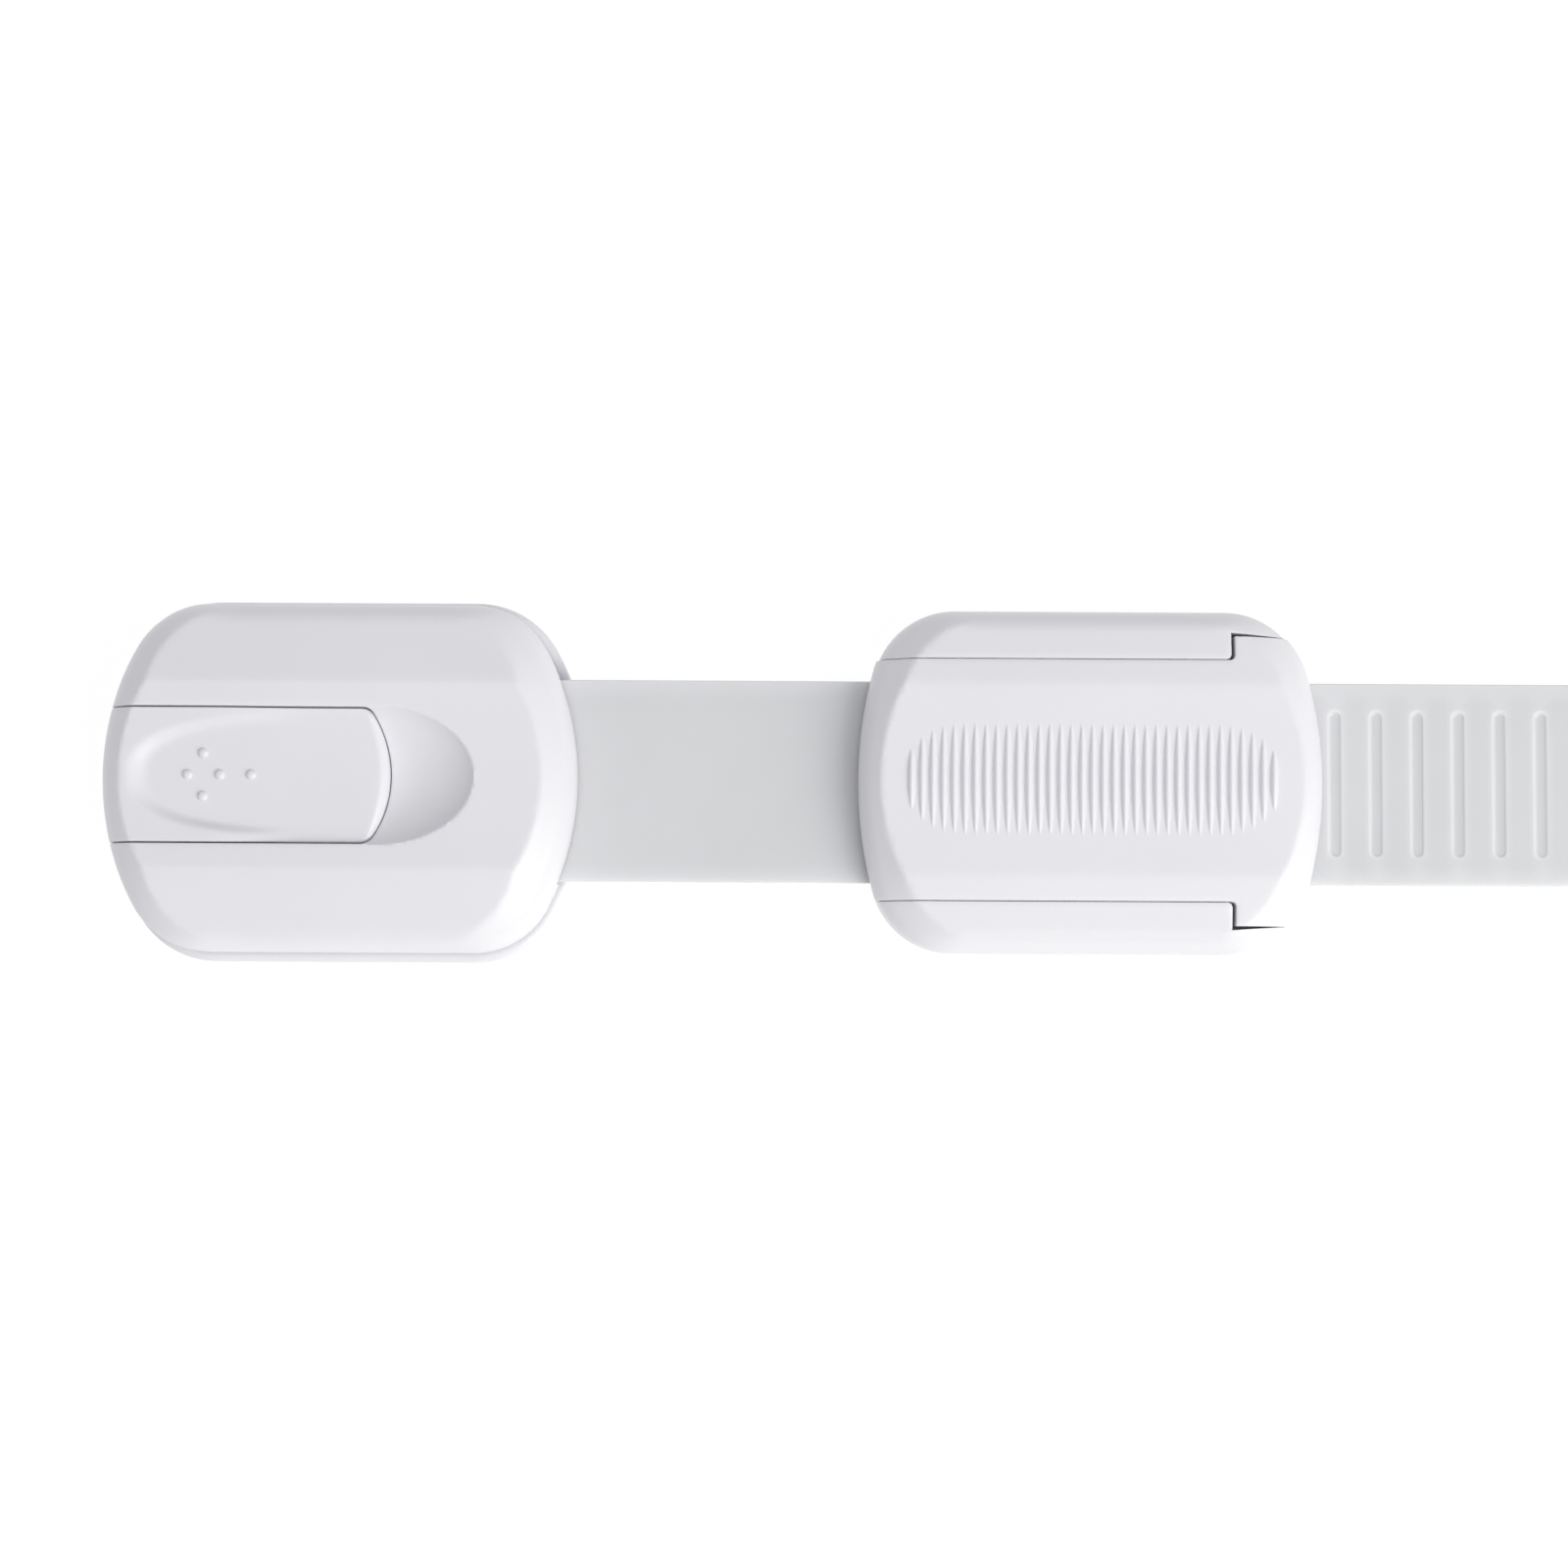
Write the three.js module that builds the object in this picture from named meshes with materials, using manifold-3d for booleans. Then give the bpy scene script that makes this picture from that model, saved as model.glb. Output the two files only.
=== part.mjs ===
// Adjustable strap latch for doors and gates, in millimetres, +Z up.
//
// A latch head on a flexible toothed strap snaps onto a stick-on base plate. A spring-loaded slide button
// spreads a wire clip inside the head, and the head then lifts off the mushroom post of the base plate.
// The strap runs on through a stick-on adjuster, where a spring pawl drops into the strap's slots. A ribbed
// sliding lid holds the pawl down, and frees it when it is slid open.
//
// The origin is the centre of the latch base's adhesive face. +X runs along the strap to its free end.
import * as THREE from "three";
import { mergeVertices } from "three/addons/utils/BufferGeometryUtils.js";
import Module from "manifold-3d";

const wasm = await Module();
wasm.setup();

// ---------------------------------------------------------------- driving dimensions
const GAP = 0.3; // between neighbouring mouldings
const WALL = 1.6; // moulded wall thickness
const PAD_THICKNESS = 1.1; // foam tape
const PAD_INSET = { latch: 0.6, adjuster: 1.2 }; // in from the moulding's outline
const FUSE = 0.1; // how deep a feature is sunk into the one it stands on
const PLAY = 0.1; // between pieces that all but touch

const HEAD = { length: 51, width: 37.6, endRadius: 30.2, cornerRadius: 9 }; // plan outline of the latch head
const HEAD_RIM = 3.6; // underside of the head's skirt
const HEAD_TOP = 14;
const HEAD_PLATEAU = 9.7; // half width of the flat band along the top
const HEAD_SHOULDER = 11.9; // height of the sloping sides at the outline

const BASE_FLANGE = 1; // the base plate shows this far outside the head
const BASE_TOP = 3.3;
const BASE_EDGE_ROUND = 0.7;

const ADJUSTER_X = 81; // centre of the adjuster from the centre of the latch head
const ADJUSTER = { length: 49.6, width: 37.1, endRadius: 46.5, cornerRadius: 9 };
const ADJUSTER_RIM = 1.4;
const ADJUSTER_TOP = 12.6;
const ADJUSTER_PLATEAU = 10.1;
const ADJUSTER_SHOULDER = 11;

const EDGE_ROUND = 3; // rounding of both mouldings' upper edges

const STRAP_WIDTH = 22;
const STRAP_THICKNESS = 1.6;
const STRAP_UNDERSIDE = 5.2;
const STRAP_TOP = STRAP_UNDERSIDE + STRAP_THICKNESS;
const STRAP_MIDDLE = STRAP_UNDERSIDE + STRAP_THICKNESS / 2;
const STRAP_HEAD_END = 13.5; // inside the latch head
const STRAP_FREE_END = 165;
const STRAP_TIP_CORNER = 5;
const BEND_X = 34.5; // the strap's bending line
const BEND_CLEARANCE = 0.25;

const SLOT_PITCH = 4.48;
const SLOT_WIDTH = 1.5;
const SLOT_LENGTH = 15.8;
const SLOT_DEPTH = 0.3;
const FIRST_SLOT_X = 63.15;
const SLOT_COUNT = 22;

const BUTTON_HALF_WIDTH = 7.2;
const BUTTON_END_X = 5.55; // tip of the button's rounded end
const BUTTON_END_RADIUS = 13.7;
const BUTTON_CORNER = 1.3;
const BUTTON_SKIRT = 6.3; // lower edge of the button's end wall
const SLIDE_PLATE = { from: -18, to: 4.2, halfWidth: 9.1, bottom: 10.5, top: 12.2 };

// Wire clip inside the head, a hairpin around its boss. Its arms run on each side of the base plate's post.
const CLIP = { wireRadius: 0.5, z: 7.2, armY: 3, armEnd: -13, taperFrom: -8.5, taper: 0.45, bossX: 8 };
// Mushroom post of the base plate.
const POST = {
  x: -4, footRadius: 3.8, footTop: 3.5, neckRadius: 2.4, neckFrom: 4.4, headRadius: 3.2, headRim: 0.5,
  tipRadius: 1.6, top: 9.8,
};
// Pegs of the base plate that stop the head from turning about the post.
const LOCATOR = { x: 1, y: 12.8, radius: 2, tipRadius: 1.5, taperFrom: 5, top: 5.6, clearance: 0.7 };
const STRAP_PEG = { x: 17.5, y: 6.5, radius: 2, clearance: 0.2 };
const SPRING = { y: 5.9, z: 8.4, coilRadius: 1.25, wireRadius: 0.25, turns: 6, clearance: 0.15 };
const SPRING_SEAT = { x: -14.6, thickness: 1.4, top: 10 };
const BUTTON_RIB = { from: -5, to: -3.6, inner: 4.4, outer: 7.3, bottom: 7 };

// Radii and heights of the screws, which differ only in length.
const SCREW = {
  shaft: 0.9, tip: 0.3, tipHeight: 0.8, headRadius: 2, headHeight: 1, chamfer: 0.5, recess: 0.7,
};
// Radii of the holes around the screws' heads, around their shafts, and in the bosses.
const SCREW_HOLE = { head: 2.2, clearance: 1.15, boss: 1.05 };
const HEAD_SCREW = { x: 13.5, y: 14, length: 5.6 };
const ADJUSTER_SCREW = { x: 14.5, y: 14.3, length: 4.4 };

const LID_HALF_WIDTH = 13;
const LID_OVERHANG = 0.25; // past the housing at both ends
const LID_EAR_HALF_WIDTH = 15.6;
const LID_EAR_X = 15.4;
const LID_UNDERSIDE = 7.6;
const LID_SKIRT = 7.2; // underside of the lid's end walls, over the strap
const LID_HOLLOW = { halfLength: 22.9, halfWidth: 11.9, straightTop: 9.6 }; // it follows the roof from there up
const LID_SIDE = 10.9; // half width between the lid's side walls
const LID_TONGUE = { from: -19.5, to: 13.5, halfWidth: 14, bottom: 8.3, top: 9.3 };
const LID_GROOVE = { from: -20.5, halfWidth: 14.4, bottom: 8, top: 9.6 };
const PRESS_RIB = { from: -1.5, to: 5.2, y: 4.5, thickness: 1.6, bottom: 8.35 }; // hold the pawl down
// Finger ribs across the lid, equally long but for the last few on each side.
const RIB = {
  count: 35, pitch: 1.143, reach: 6, fullUpTo: 12, endReach: 0.9, endSpan: 5.6, halfWidth: 0.45, height: 0.4,
};

const DECK_TOP = 5; // floor of the strap's channel through the adjuster
const DECK_UNDERSIDE = 3.4;
const CHANNEL_HALF_WIDTH = 11.3;
const GUIDE_TOP = 7.4;
const ADJUSTER_BASE_TOP = 3.1;
const POCKET = { from: 3.5, to: 12.5, inner: 15, outer: 17, top: 10 }; // thins the thick sides from below
const SCREW_HOLE_TOP = 7.1;
const BRIDGE = { from: -12.6, to: -9.2, halfWidth: 11.6, top: 8.4 }; // over the strap, it carries the pawl
const STAKE = { x: -10.9, y: 4.5, radius: 0.9, top: 9.9, clearance: 0.15 };

// Spring tongue over the strap, with two teeth.
const PAWL = {
  halfWidth: 7.3, top: 8.15, bottom: 7.15, bend: -6, tip: 5.5, rootHeight: 1, seatGap: 0.05,
  toothTip: 0.35, toothRoot: 0.7,
};
const SLOTS_BEFORE_PAWL = 4; // between the latch head and the slots that the pawl's teeth stand in

const ARC_STEPS = 3; // half the number of facets on a rounded corner
const TOO_FAR = 60; // beyond the latch head and the adjuster, for cutting tools

// ---------------------------------------------------------------- materials
const material = (name, color, roughness, metalness = 0) =>
  new THREE.MeshStandardMaterial({ name, color, roughness, metalness });
const WHITE = material("white_plastic", 0xebebef, 0.35);
const INNER = material("inner_plastic", 0xe2e2e2, 0.5);
const STRAP = material("strap_plastic", 0xd4d7d8, 0.35);
const FOAM = material("foam_tape", 0xf2f2f0, 0.9);
const STEEL = material("steel", 0xb4b7bb, 0.3, 1);

// ---------------------------------------------------------------- solids
function solid(geometry) {
  const bare = geometry.clone();
  bare.deleteAttribute("normal");
  bare.deleteAttribute("uv");
  const merged = mergeVertices(bare, 1e-4);
  const mesh = new wasm.Mesh({
    numProp: 3,
    vertProperties: merged.attributes.position.array,
    triVerts: new Uint32Array(merged.index.array),
  });
  return new wasm.Manifold(mesh);
}

function geometryOf(body) {
  const mesh = body.getMesh();
  return new THREE.BufferGeometry()
    .setAttribute("position", new THREE.BufferAttribute(mesh.vertProperties, 3))
    .setIndex(new THREE.BufferAttribute(mesh.triVerts, 1));
}

const union = (...bodies) => bodies.reduce((all, body) => all.add(body));
const cut = (body, ...tools) => tools.reduce((rest, tool) => rest.subtract(tool), body);

function box(x0, x1, y0, y1, z0, z1) {
  const geometry = new THREE.BoxGeometry(x1 - x0, y1 - y0, z1 - z0);
  return solid(geometry.translate((x0 + x1) / 2, (y0 + y1) / 2, (z0 + z1) / 2));
}

// A box on each side of the middle plane, from half width y0 to half width y1.
const boxPair = (x0, x1, y0, y1, z0, z1) => union(box(x0, x1, y0, y1, z0, z1), box(x0, x1, -y1, -y0, z0, z1));

// A body of revolution about a vertical axis at (x, y), from [radius, height] points that start and end
// on the axis.
function turned(profile, x, y, segments = 20) {
  const points = profile.map(([radius, height]) => new THREE.Vector2(radius, height));
  return solid(new THREE.LatheGeometry(points, segments).rotateX(Math.PI / 2).translate(x, y, 0));
}

const cylinder = (x, y, radius, z0, z1, segments = 14) =>
  turned([[0, z0], [radius, z0], [radius, z1], [0, z1]], x, y, segments);

const cylinderPair = (x, y, radius, z0, z1) =>
  union(cylinder(x, y, radius, z0, z1), cylinder(x, -y, radius, z0, z1));

// The same cylinder at each of the four corners (x, y), (x, -y), (-x, y) and (-x, -y).
const fourCylinders = ({ x, y }, radius, z0, z1) =>
  union(cylinderPair(x, y, radius, z0, z1), cylinderPair(-x, y, radius, z0, z1));

// A plan outline extruded from z0 to z1, with its upper edge rounded.
function prism(shape, z0, z1, round = 0) {
  if (!round) {
    const settings = { depth: z1 - z0, bevelEnabled: false, curveSegments: ARC_STEPS };
    return solid(new THREE.ExtrudeGeometry(shape, settings).translate(0, 0, z0));
  }
  const settings = {
    depth: z1 - z0 - round,
    bevelThickness: round,
    bevelSize: round,
    bevelOffset: -round,
    bevelSegments: 3,
    curveSegments: ARC_STEPS,
  };
  const rounded = solid(new THREE.ExtrudeGeometry(shape, settings).translate(0, 0, z0));
  return cut(rounded, box(-TOO_FAR, TOO_FAR, -TOO_FAR, TOO_FAR, z0 - 2 * round, z0));
}

const shapeOf = (points) => new THREE.Shape(points.map(([x, y]) => new THREE.Vector2(x, y)));

// A section in the YZ plane, extruded along X from x0 to x1.
function alongX(points, x0, x1) {
  const geometry = new THREE.ExtrudeGeometry(shapeOf(points), { depth: x1 - x0, bevelEnabled: false });
  const axes = [new THREE.Vector3(0, 1, 0), new THREE.Vector3(0, 0, 1), new THREE.Vector3(1, 0, 0)];
  return solid(geometry.applyMatrix4(new THREE.Matrix4().makeBasis(...axes)).translate(x0, 0, 0));
}

// A shape in the XZ plane, extruded along Y over the given half width.
function alongY(shape, halfWidth) {
  const settings = { depth: 2 * halfWidth, bevelEnabled: false, curveSegments: 6 };
  const geometry = new THREE.ExtrudeGeometry(shape, settings);
  const axes = [new THREE.Vector3(1, 0, 0), new THREE.Vector3(0, 0, 1), new THREE.Vector3(0, -1, 0)];
  return solid(geometry.applyMatrix4(new THREE.Matrix4().makeBasis(...axes)).translate(0, halfWidth, 0));
}

function ellipsoid(x, z, radiusX, radiusY, radiusZ, segments = 24) {
  const sphere = new THREE.SphereGeometry(1, segments, segments / 2);
  return solid(sphere.scale(radiusX, radiusY, radiusZ).translate(x, 0, z));
}

// A round wire that follows a curve.
function wire(curve, radius, sides, steps) {
  const section = new THREE.Shape().absarc(0, 0, radius, 0, 2 * Math.PI);
  const settings = { steps, curveSegments: sides, extrudePath: curve, bevelEnabled: false };
  return solid(new THREE.ExtrudeGeometry(section, settings));
}

// ---------------------------------------------------------------- shared outlines
// A rectangle with bowed ends and round corners, moved in from the full outline by inset.
function barrel({ length, width, endRadius, cornerRadius }, inset = 0) {
  const halfLength = length / 2 - inset;
  const halfWidth = width / 2 - inset;
  const end = endRadius - inset;
  const corner = cornerRadius - inset;
  const cornerY = halfWidth - corner;
  const endX = halfLength - end;
  const cornerX = endX + Math.sqrt((end - corner) ** 2 - cornerY ** 2);
  const spread = Math.atan2(cornerY, cornerX - endX);
  const quarter = Math.PI / 2;
  return new THREE.Shape()
    .absarc(endX, 0, end, -spread, spread)
    .absarc(cornerX, cornerY, corner, spread, quarter)
    .absarc(-cornerX, cornerY, corner, quarter, 2 * quarter - spread)
    .absarc(-endX, 0, end, 2 * quarter - spread, 2 * quarter + spread)
    .absarc(-cornerX, -cornerY, corner, 2 * quarter + spread, 3 * quarter)
    .absarc(cornerX, -cornerY, corner, 3 * quarter, 4 * quarter - spread);
}

// Everything under a roof with a flat band along X and sloping sides.
function underRoof(plateau, top, shoulder, halfWidth) {
  const slope = (top - shoulder) / (halfWidth - plateau);
  const outside = 1.5 * halfWidth;
  const eaves = top - slope * (outside - plateau);
  const section = [
    [-outside, -TOO_FAR], [outside, -TOO_FAR], [outside, eaves], [plateau, top], [-plateau, top],
    [-outside, eaves],
  ];
  return alongX(section, -TOO_FAR, TOO_FAR);
}

const headBlock = (inset, bottom, top) =>
  prism(barrel(HEAD, inset), bottom, top, EDGE_ROUND - inset)
    .intersect(underRoof(HEAD_PLATEAU, top, HEAD_SHOULDER - HEAD_TOP + top, HEAD.width / 2));

const adjusterBlock = (inset, bottom, top) =>
  prism(barrel(ADJUSTER, inset), bottom, top, EDGE_ROUND - Math.max(inset, 0))
    .intersect(underRoof(ADJUSTER_PLATEAU, top, ADJUSTER_SHOULDER - ADJUSTER_TOP + top, ADJUSTER.width / 2));

// The slide button's plan, grown by a gap, from left of the head to its rounded right end.
function buttonOutline(grow) {
  const half = BUTTON_HALF_WIDTH + grow;
  const tip = BUTTON_END_X + grow;
  const radius = BUTTON_END_RADIUS + grow;
  const corner = BUTTON_CORNER + grow;
  const centreX = tip - radius;
  const cornerY = half - corner;
  const cornerX = centreX + Math.sqrt((radius - corner) ** 2 - cornerY ** 2);
  const spread = Math.atan2(cornerY, cornerX - centreX);
  return new THREE.Shape()
    .moveTo(-TOO_FAR, half)
    .lineTo(-TOO_FAR, -half)
    .absarc(cornerX, -cornerY, corner, -Math.PI / 2, -spread)
    .absarc(centreX, 0, radius, -spread, spread)
    .absarc(cornerX, cornerY, corner, spread, Math.PI / 2);
}

// ---------------------------------------------------------------- latch base
const latchPad = () => prism(barrel(HEAD, PAD_INSET.latch), 0, PAD_THICKNESS);

function latchBasePlate() {
  const plate = prism(barrel(HEAD, -BASE_FLANGE), PAD_THICKNESS, BASE_TOP, BASE_EDGE_ROUND);
  const inside = BASE_TOP - FUSE;
  const lip = CLIP.z + CLIP.wireRadius + PLAY;
  const post = turned(
    [
      [0, inside], [POST.footRadius, inside], [POST.footRadius, POST.footTop],
      [POST.neckRadius, POST.neckFrom], [POST.neckRadius, lip], [POST.headRadius, lip],
      [POST.headRadius, lip + POST.headRim], [POST.tipRadius, POST.top], [0, POST.top],
    ],
    POST.x, 0,
  );
  const peg = [
    [0, inside], [LOCATOR.radius, inside], [LOCATOR.radius, LOCATOR.taperFrom],
    [LOCATOR.tipRadius, LOCATOR.top], [0, LOCATOR.top],
  ];
  return union(plate, post, turned(peg, LOCATOR.x, LOCATOR.y), turned(peg, LOCATOR.x, -LOCATOR.y));
}

// ---------------------------------------------------------------- latch head
// Thumb scoop at the button's round end: an ellipsoid, and the thickness of the shell under it.
const SCOOP = { x: 3.5, z: 14.6, radiusX: 11.4, radiusY: 7.4, radiusZ: 3.2, floor: 1.4 };
const COVER = { bottom: 3.8, top: 5 };
const SCREW_PAD = { radius: 2.7, top: 6.2 };
const SCREW_BOSS = { radius: 2.6, gap: 0.15, top: 12, holeTop: 11 };
const MOUTH = { from: 20, halfWidth: 11.3, headroom: 0.2 }; // where the strap leaves the head
const HOLD_DOWN = { from: 20.6, to: 22.2, halfWidth: 10, top: 13 }; // rib over the strap
const SILL = { from: 20, end: 2.5, halfWidth: 10.9 }; // under the strap, short of the head's end
const BUTTON_RAIL = { from: -18, to: 4.5, inner: 7.6, outer: 8.8 };
const CLIP_BOSS = { collarRadius: 3.6, radius: 2.3, top: 8.6 };
const ARM_REST = { from: -10.6, to: -9.2, inner: 2.5, outer: 3.7 };
const POST_HOLE_RADIUS = 4.6;
const BUTTON_OPENING = { to: -20, bottom: 6 }; // in the left end wall
const PLATE_CLEARANCE = 0.6; // below the slide plate

function headHousing() {
  const cavity = headBlock(WALL, 0, HEAD_TOP - WALL);
  const scoopShell = ellipsoid(
    SCOOP.x, SCOOP.z, SCOOP.radiusX + SCOOP.floor, SCOOP.radiusY + SCOOP.floor, SCOOP.radiusZ + SCOOP.floor,
  ).subtract(box(-TOO_FAR, BUTTON_END_X - GAP, -TOO_FAR, TOO_FAR, 0, TOO_FAR));
  const scoop = ellipsoid(SCOOP.x, SCOOP.z, SCOOP.radiusX, SCOOP.radiusY, SCOOP.radiusZ);
  const buttonSlot = prism(buttonOutline(GAP), SLIDE_PLATE.bottom - PLATE_CLEARANCE, TOO_FAR);
  const slotHalf = BUTTON_HALF_WIDTH + GAP;
  const buttonEnd = box(-TOO_FAR, BUTTON_OPENING.to, -slotHalf, slotHalf, BUTTON_OPENING.bottom, TOO_FAR);
  const ceiling = STRAP_TOP + MOUTH.headroom;
  const strapMouth = box(MOUTH.from, TOO_FAR, -MOUTH.halfWidth, MOUTH.halfWidth, 0, ceiling);
  const holdDown = box(
    HOLD_DOWN.from, HOLD_DOWN.to, -HOLD_DOWN.halfWidth, HOLD_DOWN.halfWidth, ceiling, HOLD_DOWN.top,
  );
  const bosses = fourCylinders(HEAD_SCREW, SCREW_BOSS.radius, SCREW_PAD.top + SCREW_BOSS.gap, SCREW_BOSS.top);
  const screwHoles = fourCylinders(HEAD_SCREW, SCREW_HOLE.boss, 0, SCREW_BOSS.holeTop);
  const shell = cut(headBlock(0, HEAD_RIM, HEAD_TOP), cavity.subtract(scoopShell));
  return cut(union(shell, holdDown, bosses), scoop, buttonSlot, buttonEnd, strapMouth, screwHoles);
}

function headCover() {
  const { bottom, top } = COVER;
  const foot = top - FUSE;
  const restTop = CLIP.z - CLIP.wireRadius - PLAY;
  const plate = prism(barrel(HEAD, WALL + GAP), bottom, top);
  const sill = box(SILL.from, HEAD.length / 2 - SILL.end, -SILL.halfWidth, SILL.halfWidth, bottom, top);
  const buttonRails = boxPair(
    BUTTON_RAIL.from, BUTTON_RAIL.to, BUTTON_RAIL.inner, BUTTON_RAIL.outer, foot, SLIDE_PLATE.bottom - GAP,
  );
  const { x: seatX, thickness } = SPRING_SEAT;
  const seatHalf = SPRING.coilRadius + SPRING.wireRadius;
  const seats = boxPair(
    seatX - thickness, seatX, SPRING.y - seatHalf, SPRING.y + seatHalf, foot, SPRING_SEAT.top,
  );
  const armRests = boxPair(ARM_REST.from, ARM_REST.to, ARM_REST.inner, ARM_REST.outer, foot, restTop);
  const { collarRadius, radius: bossRadius, top: bossTop } = CLIP_BOSS;
  const clipBoss = turned(
    [[0, foot], [collarRadius, foot], [collarRadius, restTop], [bossRadius, restTop], [bossRadius, bossTop],
      [0, bossTop]],
    CLIP.bossX, 0,
  );
  const pegs = cylinderPair(STRAP_PEG.x, STRAP_PEG.y, STRAP_PEG.radius, foot, STRAP_TOP + FUSE);
  const screwPads = fourCylinders(HEAD_SCREW, SCREW_PAD.radius, bottom, SCREW_PAD.top);
  return cut(
    union(plate, sill, buttonRails, seats, armRests, clipBoss, pegs, screwPads),
    cylinder(POST.x, 0, POST_HOLE_RADIUS, 0, TOO_FAR, 32),
    cylinderPair(LOCATOR.x, LOCATOR.y, LOCATOR.radius + LOCATOR.clearance, 0, TOO_FAR),
    fourCylinders(HEAD_SCREW, SCREW_HOLE.head, 0, top + FUSE),
    fourCylinders(HEAD_SCREW, SCREW_HOLE.clearance, 0, TOO_FAR),
  );
}

// Pan-head screw, its head down, at (x, y).
function screw(x, y, headBottom, length) {
  const { shaft, headRadius, chamfer, recess } = SCREW;
  const headTop = headBottom + SCREW.headHeight;
  const tip = headTop + length;
  const profile = [
    [0, headBottom + chamfer], [recess, headBottom + chamfer], [recess, headBottom],
    [headRadius - chamfer, headBottom], [headRadius, headBottom + chamfer], [headRadius, headTop],
    [shaft, headTop], [shaft, tip - SCREW.tipHeight], [SCREW.tip, tip], [0, tip],
  ];
  return turned(profile, x, y, 12);
}

// The raised dots on the button, an arrow that points the way it slides.
const DOTS = [[-15.9, 0], [-14.3, 2.35], [-14.3, -2.35], [-12.55, 0], [-9.2, 0]];
const DOT_RADIUS = 0.5;
const DISH = { x: -7, z: 14.5, radiusX: 17.5, radiusY: 6.7, radiusZ: 1.6 };
const BUTTON_CORE = { from: -19, to: 3, halfWidth: 7, above: 0.3 };
// Spreads the clip's arms as the button slides: half widths at both ends.
const WEDGE = { from: -11, to: -9, narrow: 1.15, wide: 2.05, bottom: 6.4 };

function dishHeight(x, y) {
  const inside = 1 - ((x - DISH.x) / DISH.radiusX) ** 2 - (y / DISH.radiusY) ** 2;
  return DISH.z - DISH.radiusZ * Math.sqrt(inside);
}

function releaseButton() {
  const { bottom, top } = SLIDE_PLATE;
  const ribTop = bottom + FUSE;
  const outline = prism(buttonOutline(0), BUTTON_SKIRT, TOO_FAR);
  const hollow = prism(barrel(HEAD, WALL), 0, top - FUSE);
  const skin = cut(headBlock(0, HEAD_RIM, HEAD_TOP).intersect(outline), hollow);
  const plateHalf = SLIDE_PLATE.halfWidth;
  const plate = box(SLIDE_PLATE.from, SLIDE_PLATE.to, -plateHalf, plateHalf, bottom, top);
  const { from, to, halfWidth, above } = BUTTON_CORE;
  const core = box(from, to, -halfWidth, halfWidth, bottom, top + above);
  const { inner, outer } = BUTTON_RIB;
  const ribs = boxPair(BUTTON_RIB.from, BUTTON_RIB.to, inner, outer, BUTTON_RIB.bottom, ribTop);
  const wedgePlan = [
    [WEDGE.from, -WEDGE.narrow], [WEDGE.to, -WEDGE.wide], [WEDGE.to, WEDGE.wide], [WEDGE.from, WEDGE.narrow],
  ];
  const wedge = prism(shapeOf(wedgePlan), WEDGE.bottom, ribTop);
  const dish = ellipsoid(DISH.x, DISH.z, DISH.radiusX, DISH.radiusY, DISH.radiusZ);
  const dots = DOTS.map(([x, y]) => {
    const dot = new THREE.SphereGeometry(DOT_RADIUS, 8, 6).translate(x, y, dishHeight(x, y));
    return solid(dot);
  });
  return union(cut(union(skin, plate, core), dish), ribs, wedge, ...dots);
}

class Helix extends THREE.Curve {
  constructor({ y, z, coilRadius, turns }, x0, x1) {
    super();
    Object.assign(this, { y, z, coilRadius, turns, x0, x1 });
  }

  getPoint(t, target = new THREE.Vector3()) {
    const { y, z, coilRadius, turns, x0, x1 } = this;
    const angle = 2 * Math.PI * turns * t;
    return target.set(x0 + (x1 - x0) * t, y + coilRadius * Math.cos(angle), z + coilRadius * Math.sin(angle));
  }
}

function buttonSpring(side) {
  const ends = SPRING.wireRadius + SPRING.clearance;
  const curve = new Helix({ ...SPRING, y: side * SPRING.y }, SPRING_SEAT.x + ends, BUTTON_RIB.from - ends);
  return wire(curve, SPRING.wireRadius, 3, 10 * SPRING.turns);
}

// A hairpin of spring wire: round its boss, along both sides of the post, then closing in.
function catchClip() {
  const { z, armY, armEnd, taperFrom, bossX } = CLIP;
  const endY = armY - CLIP.taper * (taperFrom - armEnd);
  const arm = (side) => [
    new THREE.Vector3(armEnd, side * endY, z),
    new THREE.Vector3(taperFrom, side * armY, z),
    new THREE.Vector3(bossX, side * armY, z),
  ];
  const bends = 8; // straight pieces in the half turn around the boss
  const round = Array.from({ length: bends - 1 }, (_, i) => {
    const angle = (Math.PI * (i + 1)) / bends - Math.PI / 2;
    return new THREE.Vector3(bossX + armY * Math.cos(angle), armY * Math.sin(angle), z);
  });
  const corners = [...arm(-1), ...round, ...arm(1).reverse()];
  const path = new THREE.CurvePath();
  for (let i = 1; i < corners.length; i++) {
    path.add(new THREE.LineCurve3(corners[i - 1], corners[i]));
  }
  return wire(path, CLIP.wireRadius, 4, 44);
}

// ---------------------------------------------------------------- strap
const bendEnd = (STRAP_THICKNESS / 2) + BEND_CLEARANCE; // centre of a rounded end, from the bending line

function strapLead() {
  const end = BEND_X - bendEnd;
  const section = new THREE.Shape()
    .moveTo(STRAP_HEAD_END, STRAP_TOP)
    .lineTo(STRAP_HEAD_END, STRAP_UNDERSIDE)
    .absarc(end, STRAP_MIDDLE, STRAP_THICKNESS / 2, -Math.PI / 2, Math.PI / 2);
  const holes = cylinderPair(STRAP_PEG.x, STRAP_PEG.y, STRAP_PEG.radius + STRAP_PEG.clearance, 0, TOO_FAR);
  return cut(alongY(section, STRAP_WIDTH / 2), holes);
}

function stadium(x, width, length) {
  const reach = (length - width) / 2;
  return new THREE.Shape()
    .absarc(x, reach, width / 2, 0, Math.PI)
    .absarc(x, -reach, width / 2, Math.PI, 2 * Math.PI);
}

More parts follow.
